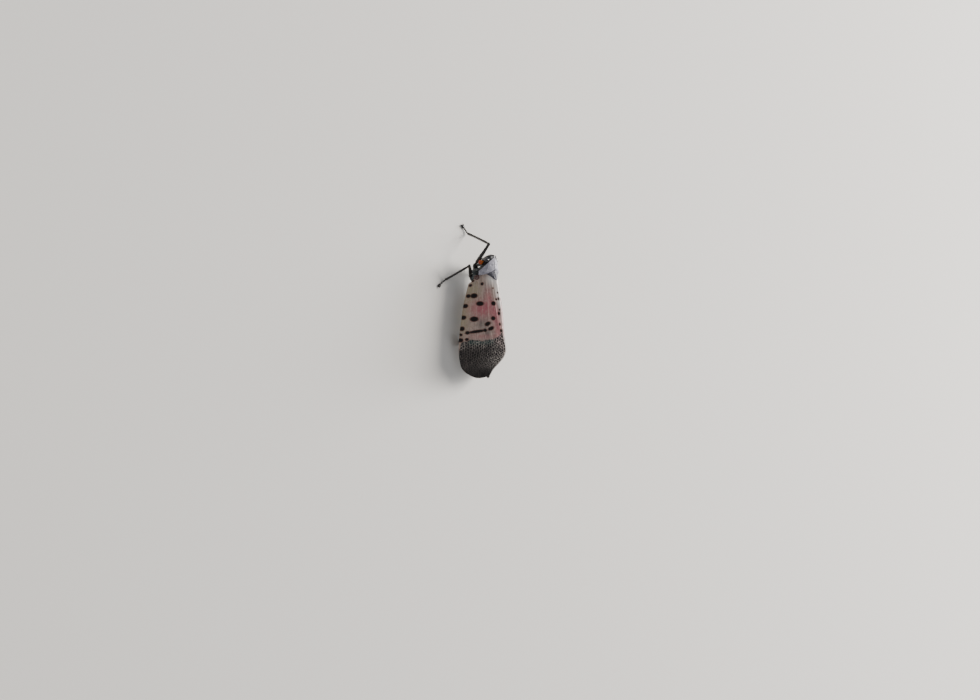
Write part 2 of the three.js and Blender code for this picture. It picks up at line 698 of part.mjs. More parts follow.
// Foot: three short joints, a flat pad and two claws, cut level where it stands.
function tarsus(ankle, toe) {
  const flat = new THREE.Vector3(toe.x - ankle.x, toe.y - ankle.y, 0);
  const reach = flat.length();
  const lie = flat.clone().normalize();
  const aside = new THREE.Vector3(-lie.y, lie.x, 0);
  const spot = (distance, height, out = 0) => new THREE.Vector3(ankle.x, ankle.y, height)
    .addScaledVector(lie, distance).addScaledVector(aside, out);
  const start = ANKLE_RADIUS + GAP;
  const joints = [[0, 0.4], [0.3, 0.31], [0.55, 0.25], [1, 0.2]].map(([share, height]) => (
    spot(THREE.MathUtils.lerp(start, reach, share), height)));
  const pieces = joints.slice(1).map((end, k) => {
    const length = joints[k].distanceTo(end);
    return rod(joints[k], end, [[0, TARSUS_RADIUS * 0.75], [length + 0.05, TARSUS_RADIUS]], 6);
  });
  const pad = ball(new THREE.Vector3(), PAD_HALF_WIDTH, PAD_LENGTH, PAD_HEIGHT, 8);
  pad.applyQuaternion(new THREE.Quaternion().setFromUnitVectors(new THREE.Vector3(0, 1, 0), lie));
  const padSpot = spot(reach - PAD_LENGTH * 0.45, PAD_HEIGHT / 2);
  pad.translate(padSpot.x, padSpot.y, padSpot.z);
  const claws = [-1, 1].map((s) => {
    const root = spot(reach - 0.25, 0.3, s * 0.12);
    const tip = spot(reach - 0.1 + CLAW_LENGTH, 0.12, s * 0.34);
    return thorn(root, tip, CLAW_RADIUS, 4);
  });
  const below = new THREE.BoxGeometry(12, 12, 2);
  below.translate(ankle.x, ankle.y, -1);
  return carve(fuse([...pieces, pad, ...claws]), [below]);
}

const insect = new THREE.Group();

function add(name, geometry, material) {
  const finished = facingOut(tidySurface(geometry));
  finished.computeVertexNormals();
  const mesh = new THREE.Mesh(finished, material);
  mesh.name = name;
  insect.add(mesh);
}

add('head', head(), FINISH.headPlate);
add('rostrum', rostrum(), FINISH.cuticle);
add('pronotum', collar(), FINISH.collar);
add('scutellum', scutellum(), FINISH.scutellum);
add('thorax', thorax(), FINISH.cuticle);
add('abdomen', abdomen(), FINISH.abdomen);

[['left', LEFT], ['right', RIGHT]].forEach(([word, side]) => {
  add(`eye_${word}`, eye(side), FINISH.eye);
  add(`antenna_${word}`, antenna(side), FINISH.antenna);
  add(`tegula_${word}`, tegula(side), FINISH.collar);
  add(`forewing_${word}`, forewing(side), FINISH.forewing);
  add(`hindwing_${word}`, hindwing(side), FINISH.hindwing);
});

Object.entries(STANCE).forEach(([leg, [root, hip, knee, ankle, toe]]) => {
  add(`coxa_${leg}`, coxa(root, hip), FINISH.cuticle);
  add(`femur_${leg}`, femur(root, hip, knee), FINISH.cuticle);
  add(`tibia_${leg}`, tibia(hip, knee, ankle, leg.startsWith('hind')), FINISH.cuticle);
  add(`tarsus_${leg}`, tarsus(ankle, toe), FINISH.cuticle);
});

// The origin is under the middle of the whole insect, on the level that its feet stand on.
const reach = new THREE.Box3().setFromObject(insect);
const middle = reach.getCenter(new THREE.Vector3());
insect.position.set(-middle.x, -middle.y, -reach.min.z);

export default insect;
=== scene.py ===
"""Spotted lanternfly at rest with its wings folded, life size, on a plain pale floor.

Shapes are worked out in millimetres around the middle of the body and set to metres at the end.
+Z is up, +Y points ahead and +X is the insect's right. Places along the body are stations: the
distance behind the front of the head.
"""

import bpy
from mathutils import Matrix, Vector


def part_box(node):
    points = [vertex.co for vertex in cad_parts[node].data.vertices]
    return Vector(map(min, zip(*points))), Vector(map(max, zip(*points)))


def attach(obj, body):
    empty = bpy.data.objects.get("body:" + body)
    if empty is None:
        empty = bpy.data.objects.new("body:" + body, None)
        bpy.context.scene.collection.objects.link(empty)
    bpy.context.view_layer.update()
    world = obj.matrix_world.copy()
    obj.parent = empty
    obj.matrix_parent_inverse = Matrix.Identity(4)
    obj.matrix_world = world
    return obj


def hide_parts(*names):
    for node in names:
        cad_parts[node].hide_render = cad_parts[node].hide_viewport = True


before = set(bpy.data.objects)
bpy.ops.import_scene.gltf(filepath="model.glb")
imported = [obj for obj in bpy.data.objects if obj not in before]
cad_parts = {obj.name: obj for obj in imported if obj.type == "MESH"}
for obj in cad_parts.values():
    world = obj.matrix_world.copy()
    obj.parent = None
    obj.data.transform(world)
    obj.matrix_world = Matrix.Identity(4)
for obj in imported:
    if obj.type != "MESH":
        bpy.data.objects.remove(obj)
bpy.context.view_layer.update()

import logging
import math
import random
from dataclasses import dataclass
from enum import Enum
from typing import Callable, Sequence

import bmesh
import bpy
import numpy as np
from bpy.types import Material, Node, NodeSocket, NodeTree, Object
from mathutils import Matrix, Vector

LOG = logging.getLogger("lanternfly")

Array = np.ndarray
Curve = Sequence[tuple[float, float]]
Triple = tuple[float, float, float]

MM = 0.001
BODY_LENGTH = 25.7
SEED = 41
UP = Vector((0, 0, 1))
# How deep the skins of head and thorax lie below the plates and wings that cover them.
TUCK_DEPTH = 0.34


class Side(Enum):
    """The two sides of the insect, as the sign of their X."""

    LEFT = -1
    RIGHT = 1

    @property
    def word(self) -> str:
        """The side's name as the solids use it."""
        return self.name.lower()


# Places and meshes


def place(x: float, station: float, z: float) -> Vector:
    """A point from its sideways distance, station and height, in millimetres."""
    return Vector((x, BODY_LENGTH / 2 - station, z))


def place_on(side: Side, spot: Triple) -> Vector:
    """The point on one side that is given for the right: sideways distance, station and height."""
    return place(side.value * spot[0], spot[1], spot[2])


def rows(x: Array, station: Array, z: Array) -> Array:
    """Rows of x, y and z from sideways distances, stations and heights."""
    return np.stack([x, BODY_LENGTH / 2 - station, z], 1)


def stations_of(points: Array) -> Array:
    """The station of each row of x, y and z."""
    return BODY_LENGTH / 2 - points[:, 1]


def squarer(wave: Array, power: float) -> Array:
    """A sine or cosine to a power below 1, with its sign kept, so that a circle gets squarer."""
    return np.sign(wave) * np.abs(wave) ** power


def rounded_ends(value: Array, middle: float, half_length: float, power: int) -> Array:
    """1 in the middle of a tube, falling to 0 in a round end at its half length on both sides."""
    return np.sqrt(np.clip(1 - ((value - middle) / half_length) ** power, 0, 1))


def side_lines(lie: Vector) -> tuple[Vector, Vector]:
    """The level direction beside a line, and the direction square to both."""
    aside = lie.cross(UP).normalized()
    return aside, aside.cross(lie).normalized()


def bump_at(value: Array, centre: float, half_width: float) -> Array:
    """A smooth hill of height 1 at a centre, falling to about a third at its half width."""
    return np.exp(-(((value - centre) / half_width) ** 2))


def smooth_step(low: float, high: float, value: Array) -> Array:
    """A smooth climb from 0 at low to 1 at high."""
    t = np.clip((np.asarray(value, float) - low) / (high - low), 0, 1)
    return t * t * (3 - 2 * t)


def window(value: Array, low: float, high: float, soft: float) -> Array:
    """1 between low and high, fading to 0 over the soft distance outside them."""
    return smooth_step(low - soft, low, value) * (1 - smooth_step(high, high + soft, value))


@dataclass(frozen=True)
class Profile:
    """A smooth value along the body that passes through pairs of station and value."""

    pairs: Curve

    def at(self, station: Array) -> Array:
        """The value at each station, straight on beyond both ends.

        Args:
            station: the station of each place.

        Returns:
            The values.
        """
        s = np.asarray(station, float)
        xs, ys = np.array(self.pairs, float).T
        count = len(xs)
        before = np.maximum(np.arange(count) - 1, 0)
        after = np.minimum(np.arange(count) + 1, count - 1)
        slope = (ys[after] - ys[before]) / (xs[after] - xs[before])
        k = np.clip(np.searchsorted(xs, s, side="right") - 1, 0, count - 2)
        span = xs[k + 1] - xs[k]
        t = np.clip((s - xs[k]) / span, 0, 1)
        ease = t * t * (3 - 2 * t)
        bend = t * (1 - t) ** 2 * slope[k] + t * t * (t - 1) * slope[k + 1]
        inside = ys[k] * (1 - ease) + ys[k + 1] * ease + span * bend
        beyond = slope[0] * np.minimum(s - xs[0], 0) + slope[-1] * np.maximum(s - xs[-1], 0)
        return inside + beyond


def clear_selection() -> None:
    """Leaves edit mode and deselects every object."""
    if bpy.context.mode != "OBJECT":
        bpy.ops.object.mode_set(mode="OBJECT")
    bpy.ops.object.select_all(action="DESELECT")


def select_only(pieces: Sequence[Object]) -> None:
    """Selects these pieces and makes the first one active.

    Args:
        pieces: the pieces, of which the first becomes active.
    """
    clear_selection()
    for piece in pieces:
        piece.select_set(True)
    bpy.context.view_layer.objects.active = pieces[0]


def points_of(piece: Object) -> Array:
    """The vertices of a piece as rows of x, y and z.

    Args:
        piece: the piece.

    Returns:
        The rows.
    """
    points = np.empty(len(piece.data.vertices) * 3)
    piece.data.vertices.foreach_get("co", points)
    return points.reshape(-1, 3)


def normals_of(piece: Object) -> Array:
    """The vertex normals of a piece as rows of x, y and z.

    Args:
        piece: the piece.

    Returns:
        The rows.
    """
    normals = np.empty(len(piece.data.vertices) * 3, np.float32)
    piece.data.vertex_normals.foreach_get("vector", normals)
    return normals.reshape(-1, 3).astype(float)


def move_points(piece: Object, points: Array) -> None:
    """Puts the vertices of a piece at new places."""
    piece.data.vertices.foreach_set("co", np.ascontiguousarray(points, np.float64).ravel())
    piece.data.update()


def add_sheet(lines: int, columns: int) -> tuple[Object, Array, Array]:
    """A flat grid to be shaped.

    Args:
        lines: cells along the first direction.
        columns: cells along the second direction.

    Returns:
        The piece, and two arrays that run from 0 to 1 along the two directions.
    """
    clear_selection()
    bpy.ops.mesh.primitive_grid_add(x_subdivisions=lines, y_subdivisions=columns, size=2)
    piece = bpy.context.active_object
    flat = points_of(piece)
    return piece, (flat[:, 0] + 1) / 2, (flat[:, 1] + 1) / 2


def add_tube(sides: int, rings: int) -> tuple[Object, Array, Array, Array]:
    """A closed cylinder whose wall is subdivided into rings, to be shaped.

    Args:
        sides: faces around it.
        rings: faces along it.

    Returns:
        The piece, each vertex's angle, its share of the length from 0 to 1, and 1 on the wall or
        0 at the middle of an end.
    """
    clear_selection()
    bpy.ops.mesh.primitive_cylinder_add(vertices=sides, radius=1, depth=2, end_fill_type="TRIFAN")
    piece = bpy.context.active_object
    bpy.ops.object.mode_set(mode="EDIT")
    bpy.ops.mesh.select_mode(type="EDGE")
    bpy.ops.mesh.select_all(action="DESELECT")
    mesh = bmesh.from_edit_mesh(piece.data)
    for edge in mesh.edges:
        edge.select_set(abs(edge.verts[0].co.z - edge.verts[1].co.z) > 1)
    bmesh.update_edit_mesh(piece.data)
    bpy.ops.mesh.subdivide(number_cuts=rings - 1)
    bpy.ops.object.mode_set(mode="OBJECT")
    round_points = points_of(piece)
    angle = np.arctan2(round_points[:, 1], round_points[:, 0])
    share = (round_points[:, 2] + 1) / 2
    wall = (np.hypot(round_points[:, 0], round_points[:, 1]) > 0.5).astype(float)
    return piece, angle, share, wall


def add_ball(centre: Vector, radii: Sequence[float], sides: int = 48) -> Object:
    """A ball stretched to three radii, with its place in its mesh.

    Args:
        centre: its centre.
        radii: its radii along x, y and z.
        sides: faces around it.

    Returns:
        The ball.
    """
    clear_selection()
    bpy.ops.mesh.primitive_uv_sphere_add(segments=sides, ring_count=sides // 2, radius=1)
    piece = bpy.context.active_object
    piece.data.transform(Matrix.Translation(centre) @ Matrix.Diagonal((*radii, 1)))
    return piece


def add_rod(start: Vector, end: Vector, outline: Curve, sides: int = 24, rings: int = 40,
            ridges: int = 0, ridge_height: float = 0.0, bow: float = 0.0) -> Object:
    """A turned rod between two points, with long ridges round it and a slight bow.

    Args:
        start: the middle of its first end.
        end: the point that it runs towards.
        outline: pairs of distance from the start and radius.
        sides: faces around it.
        rings: faces along it.
        ridges: how many ridges run along it.
        ridge_height: their height as a share of the radius.
        bow: how far its middle is raised from the straight line.

    Returns:
        The rod, a closed mesh.
    """
    piece, angle, share, wall = add_tube(sides, rings)
    distances, radii = np.array(outline, float).T
    distance = distances[0] + share * (distances[-1] - distances[0])
    swell = 1 + ridge_height * np.cos(ridges * angle) if ridges else 1.0
    radius = np.interp(distance, distances, radii) * swell * wall
    lie = (end - start).normalized()
    aside, above = side_lines(lie)
    raise_middle = bow * np.sin(np.pi * np.clip(distance / (end - start).length, 0, 1))
    points = (np.array(start)
              + np.outer(distance, np.array(lie))
              + np.outer(radius * np.cos(angle), np.array(above))
              - np.outer(radius * np.sin(angle), np.array(aside))
              + np.outer(raise_middle, np.array(above)))
    move_points(piece, points)
    return face_outwards(piece)


def edit_all(piece: Object, operator: Callable[..., object], **settings: object) -> Object:
    """Runs an edit-mode operator on the whole of a piece.

    Args:
        piece: the piece.
        operator: the operator.
        settings: the operator's settings.

    Returns:
        The same piece.
    """
    select_only([piece])
    bpy.ops.object.mode_set(mode="EDIT")
    bpy.ops.mesh.select_all(action="SELECT")
    operator(**settings)
    bpy.ops.object.mode_set(mode="OBJECT")
    return piece


def face_outwards(piece: Object) -> Object:
    """Turns the faces of a closed piece so that they all point outwards."""
    return edit_all(piece, bpy.ops.mesh.normals_make_consistent, inside=False)


def apply_modifier(piece: Object, kind: str, **settings: object) -> Object:
    """Adds a modifier with these settings to a piece and applies it.

    Args:
        piece: the piece.
        kind: its type.
        settings: its settings.

    Returns:
        The same piece.
    """
    select_only([piece])
    modifier = piece.modifiers.new(kind.lower(), kind)
    for name, value in settings.items():
        setattr(modifier, name, value)
    bpy.ops.object.modifier_apply(modifier=modifier.name)
    return piece


def thicken(piece: Object, thickness: float) -> Object:
    """Turns a sheet to face up and gives it a thickness below.

    Args:
        piece: the sheet.
        thickness: its thickness.

    Returns:
        The same piece.
    """
    if normals_of(piece)[:, 2].mean() < 0:
        edit_all(piece, bpy.ops.mesh.flip_normals)
    return apply_modifier(piece, "SOLIDIFY", thickness=thickness, offset=-1)


def join(pieces: Sequence[Object]) -> Object:
    """Makes one object of several.

    Args:
        pieces: the pieces.

    Returns:
        The joined piece.
    """
    select_only(pieces)
    if len(pieces) > 1:
        bpy.ops.object.join()
    return bpy.context.view_layer.objects.active


def melt_together(pieces: Sequence[Object], cell: float, rounds: int) -> Object:
    """Makes one continuous skin of closed pieces that lie in each other.

    Args:
        pieces: the closed pieces.
        cell: the size of the cells that the skin is rebuilt from.
        rounds: how many times it is smoothed.

    Returns:
        The skin, a closed mesh of even quads.
    """
    body = join(pieces)
    apply_modifier(body, "REMESH", mode="VOXEL", voxel_size=cell, adaptivity=0)
    apply_modifier(body, "SMOOTH", factor=0.5, iterations=rounds)
    return body


def copies_of(model: Object, places: Sequence[Matrix]) -> Object:
    """One mesh with a copy of a small model at each place. The model itself is removed.

    Args:
        model: the modelled piece that is repeated.
        places: a transform for each copy.

    Returns:
        A new object with all copies.
    """
    corners = points_of(model)
    faces = [list(face.vertices) for face in model.data.polygons]
    all_points = []
    all_faces = []
    for matrix in places:
        turn = np.array(matrix)
        first = len(all_points) * len(corners)
        all_points.append(corners @ turn[:3, :3].T + turn[:3, 3])
        all_faces.extend([[first + corner for corner in face] for face in faces])
    mesh = bpy.data.meshes.new("copies")
    mesh.from_pydata(np.concatenate(all_points).tolist(), [], all_faces)
    piece = bpy.data.objects.new("copies", mesh)
    bpy.context.scene.collection.objects.link(piece)
    bpy.data.objects.remove(model)
    return piece


def float_attribute(piece: Object, name: str, values: Array) -> None:
    """Keeps a value for each vertex of a piece, for its material to read."""
    attribute = piece.data.attributes.new(name, "FLOAT", "POINT")
    attribute.data.foreach_set("value", np.ascontiguousarray(values, np.float32))


def pattern_map(piece: Object, along: Array, across: Array) -> None:
    """Gives a piece the UV map "pattern" from two values for each vertex, each from 0 to 1.

    Args:
        piece: the piece.
        along: the first value.
        across: the second value.
    """
    layer = piece.data.uv_layers.new(name="pattern")
    corners = np.empty(len(piece.data.loops), np.int32)
    piece.data.loops.foreach_get("vertex_index", corners)
    values = np.stack([along[corners], across[corners]], 1)
    layer.data.foreach_set("uv", values.astype(np.float32).ravel())


def centring_shift() -> Vector:
    """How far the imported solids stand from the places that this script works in, in millimetres.

    Returns:
        The shift.
    """
    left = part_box("eye_left")[0]
    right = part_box("eye_right")[1]
    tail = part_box("forewing_left")[0]
    return Vector(((left.x + right.x) / 2 / MM, tail.y / MM + BODY_LENGTH / 2, 0))


SHIFT = centring_shift()


def settle(piece: Object, name: str, material: Material,
           nodes: Sequence[str], crease: float = 40) -> Object:
    """Finishes a piece: its size in metres, place, shading, material and part in the object.

    Args:
        piece: the modelled piece, in millimetres.
        name: its name in the finished object.
        material: its material.
        nodes: the solids that it stands for.
        crease: edges sharper than this angle, in degrees, stay sharp.

    Returns:
        The same piece.
    """
    piece.data.transform(Matrix.Scale(MM, 4) @ Matrix.Translation(SHIFT))
    select_only([piece])
    bpy.ops.object.shade_smooth_by_angle(angle=math.radians(crease))
    piece.name = name
    piece.data.name = name
    piece.data.materials.clear()
    piece.data.materials.append(material)
    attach(piece, "root")
    if nodes:
        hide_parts(*nodes)
    LOG.info("%s: %d faces, stands for %s", name, len(piece.data.polygons),
             ", ".join(nodes) or "a detail")
    return piece


# Finishes


def srgb(code: str) -> tuple[float, float, float, float]:
    """An sRGB hex colour as a linear colour for a socket.

    Args:
        code: the colour as # and six digits.

    Returns:
        Red, green, blue and alpha.
    """
    parts = [int(code[k:k + 2], 16) / 255 for k in (1, 3, 5)]
    linear = [p / 12.92 if p <= 0.04045 else ((p + 0.055) / 1.055) ** 2.4 for p in parts]
    return (*linear, 1.0)


class Step(Enum):
    """The shader nodes in use: the type of each and the settings that say what it does."""

    PLACE = ("ShaderNodeTexCoord", {})
    MAPPING = ("ShaderNodeMapping", {})
    OWN_MAP = ("ShaderNodeUVMap", {"uv_map": "pattern"})
    MARK = ("ShaderNodeAttribute", {})
    NOISE = ("ShaderNodeTexNoise", {})
    GRAINS = ("ShaderNodeTexVoronoi", {})
    BRICKS = ("ShaderNodeTexBrick", {})
    RANGE = ("ShaderNodeMapRange", {})
    SOFT_RANGE = ("ShaderNodeMapRange", {"interpolation_type": "SMOOTHSTEP"})
    BLEND = ("ShaderNodeMix", {"data_type": "RGBA"})
    TIMES = ("ShaderNodeMath", {"operation": "MULTIPLY"})
    TIMES_PLUS = ("ShaderNodeMath", {"operation": "MULTIPLY_ADD"})
    LESS = ("ShaderNodeMath", {"operation": "SUBTRACT"})
    LARGER = ("ShaderNodeMath", {"operation": "MAXIMUM"})
    WITHOUT_SIGN = ("ShaderNodeMath", {"operation": "ABSOLUTE"})
    SCALED = ("ShaderNodeVectorMath", {"operation": "SCALE"})
    SHIFTED = ("ShaderNodeVectorMath", {"operation": "MULTIPLY_ADD"})
    PARTS = ("ShaderNodeSeparateXYZ", {})
    BUMP = ("ShaderNodeBump", {})
    SHADER = ("ShaderNodeBsdfPrincipled", {})
    OUTPUT = ("ShaderNodeOutputMaterial", {})


def add_node(tree: NodeTree, step: Step, inputs: dict | None = None, **settings: object) -> Node:
    """Adds a node to a material.

    Args:
        tree: the material's node tree.
        step: what the node does.
        inputs: for each input, by name or number, a value, an output, or a node for its first one.
        settings: the node's own properties.

    Returns:
        The node.
    """
    kind, own_settings = step.value
    node = tree.nodes.new(kind)
    for name, value in {**own_settings, **settings}.items():
        setattr(node, name, value)
    for key, value in (inputs or {}).items():
        source = value.outputs[0] if isinstance(value, Node) else value
        if isinstance(source, NodeSocket):
            tree.links.new(source, node.inputs[key])
        else:
            node.inputs[key].default_value = source
    return node


@dataclass(frozen=True)
class Finish:
    """What all finishes share: a principled shader whose inputs a subclass gives."""

    name: str

    def make(self) -> Material:
        """Builds the material.

        Returns:
            The material.
        """
        material = bpy.data.materials.new(self.name)
        material.use_nodes = True
        tree = material.node_tree
        tree.nodes.clear()
        shader = add_node(tree, Step.SHADER, self.dress(tree))
        add_node(tree, Step.OUTPUT, {"Surface": shader})
        return material

    def dress(self, tree: NodeTree) -> dict[str, object]:
        """Adds the pattern's nodes and gives the inputs of the shader."""
        raise NotImplementedError

    def millimetres(self, tree: NodeTree) -> NodeSocket:
        """The place on the piece, in millimetres.

        Args:
            tree: the material's nodes.

        Returns:
            The place as a vector.
        """
        spot = add_node(tree, Step.PLACE)
        scaled = add_node(tree, Step.MAPPING, {
            "Vector": spot.outputs["Object"], "Scale": (1 / MM,) * 3})
        return scaled.outputs[0]


@dataclass(frozen=True)
class Cuticle(Finish):
    """Insect cuticle: hard chitin with a thin, uneven bloom of pale wax and fine pits."""

    base: str = "#1a181a"
    wax: str = "#77777c"
    wax_share: float = 0.3
    patch_mm: float = 0.9
    pit_mm: float = 0.09
    pit_depth: float = 0.5
    roughness: float = 0.4
    wax_roughness: float = 0.7
    gloss: float = 0.5

    def dress(self, tree: NodeTree) -> dict[str, object]:
        """Wax lies in cloudy patches and in the pits, where the cuticle is duller.

        Args:
            tree: the material's nodes.

        Returns:
            The shader's inputs.
        """
        spot = self.millimetres(tree)
        clouds = add_node(tree, Step.NOISE, {
            "Vector": spot, "Scale": 1 / self.patch_mm, "Detail": 6.0, "Roughness": 0.62})
        pits = add_node(tree, Step.GRAINS, {"Vector": spot, "Scale": 1 / self.pit_mm})
        grain = add_node(tree, Step.NOISE, {
            "Vector": spot, "Scale": 2.2 / self.pit_mm, "Detail": 3.0})
        dust = add_node(tree, Step.SOFT_RANGE, {
            0: clouds, 1: 0.68 - 0.4 * self.wax_share, 2: 0.82 - 0.2 * self.wax_share})
        speckle = add_node(tree, Step.RANGE, {0: grain, 1: 0.3, 2: 0.7, 3: 0.35, 4: 1.0})
        amount = add_node(tree, Step.TIMES, {0: dust, 1: speckle})
        share = add_node(tree, Step.TIMES, {0: amount, 1: min(1.0, self.wax_share * 2)})
        colour = add_node(tree, Step.BLEND, {0: share, 6: srgb(self.base), 7: srgb(self.wax)})
        dull = add_node(tree, Step.RANGE, {0: share, 3: self.roughness, 4: self.wax_roughness})
        hollow = add_node(tree, Step.RANGE, {0: pits.outputs["Distance"], 1: 0.0, 2: 0.6})
        height = add_node(tree, Step.TIMES_PLUS, {0: grain, 1: 0.35, 2: hollow})
        relief = add_node(tree, Step.BUMP, {
            "Strength": self.pit_depth, "Distance": self.pit_mm * MM * 0.4, "Height": height})
        return {"Base Color": colour.outputs[2], "Roughness": dull, "Normal": relief,
                "Specular IOR Level": self.gloss}


@dataclass(frozen=True)
class CompoundEye(Finish):
    """Compound eye: glossy dark facets. A facet is really 0.03 mm; it is drawn coarser to show."""

    facet_mm: float = 0.085

    def dress(self, tree: NodeTree) -> dict[str, object]:
        """Each facet is a small dome, with darker clouds below the clear surface.

        Args:
            tree: the material's nodes.

        Returns:
            The shader's inputs.
        """
        spot = self.millimetres(tree)
        facets = add_node(tree, Step.GRAINS, {
            "Vector": spot, "Scale": 1 / self.facet_mm, "Randomness": 0.35})
        clouds = add_node(tree, Step.NOISE, {"Vector": spot, "Scale": 2.4, "Detail": 3.0})
        edge = add_node(tree, Step.RANGE, {0: facets.outputs["Distance"], 1: 0.25, 2: 0.65})
        dark = add_node(tree, Step.BLEND, {0: clouds, 6: srgb("#14131a"), 7: srgb("#363746")})
        colour = add_node(tree, Step.BLEND, {0: edge, 6: dark.outputs[2], 7: srgb("#0e0d12")})
        dome = add_node(tree, Step.LESS, {0: 1.0, 1: facets.outputs["Distance"]})
        relief = add_node(tree, Step.BUMP, {
            "Strength": 0.55, "Distance": self.facet_mm * MM * 0.35, "Height": dome})
        return {"Base Color": colour.outputs[2], "Normal": relief, "Roughness": 0.24,
                "Coat Weight": 0.5, "Coat Roughness": 0.12}


@dataclass(frozen=True)
class SensoryBulb(Finish):
    """Antenna bulb: orange, dark red at its outer end, satin, grained all over with sensory pits."""

    light: str = "#fb9a2a"
    outer: str = "#a8331c"
    deep: str = "#7e1c0c"
    grain_mm: float = 0.07
    fade: tuple[float, float] = (1.85, 2.5)

    def dress(self, tree: NodeTree) -> dict[str, object]:
        """Round grains, lighter on top and red between them, over a tint that reddens outwards.

        Args:
            tree: the material's nodes.

        Returns:
            The shader's inputs.
        """
        spot = self.millimetres(tree)
        place_parts = add_node(tree, Step.PARTS, {"Vector": spot})
        out = add_node(tree, Step.WITHOUT_SIGN, {0: place_parts})
        redder = add_node(tree, Step.RANGE, {0: out, 1: self.fade[0], 2: self.fade[1]})
        tint = add_node(tree, Step.BLEND, {0: redder, 6: srgb(self.light), 7: srgb(self.outer)})
        grains = add_node(tree, Step.GRAINS, {
            "Vector": spot, "Scale": 1 / self.grain_mm, "Randomness": 0.6})
        between = add_node(tree, Step.RANGE, {
            0: grains.outputs["Distance"], 1: 0.2, 2: 0.6, 3: 0.0, 4: 0.8})
        colour = add_node(tree, Step.BLEND, {0: between, 6: tint.outputs[2], 7: srgb(self.deep)})
        dome = add_node(tree, Step.LESS, {0: 1.0, 1: grains.outputs["Distance"]})
        relief = add_node(tree, Step.BUMP, {
            "Strength": 0.8, "Distance": self.grain_mm * MM * 0.5, "Height": dome})
        return {"Base Color": colour.outputs[2], "Normal": relief, "Roughness": 0.42}


@dataclass(frozen=True)
class WingNodes:
    """What the layers of a forewing's material share."""

    tree: NodeTree
    spot: NodeSocket
    fine: NodeSocket
    wander: Node
    marks: dict[str, NodeSocket]


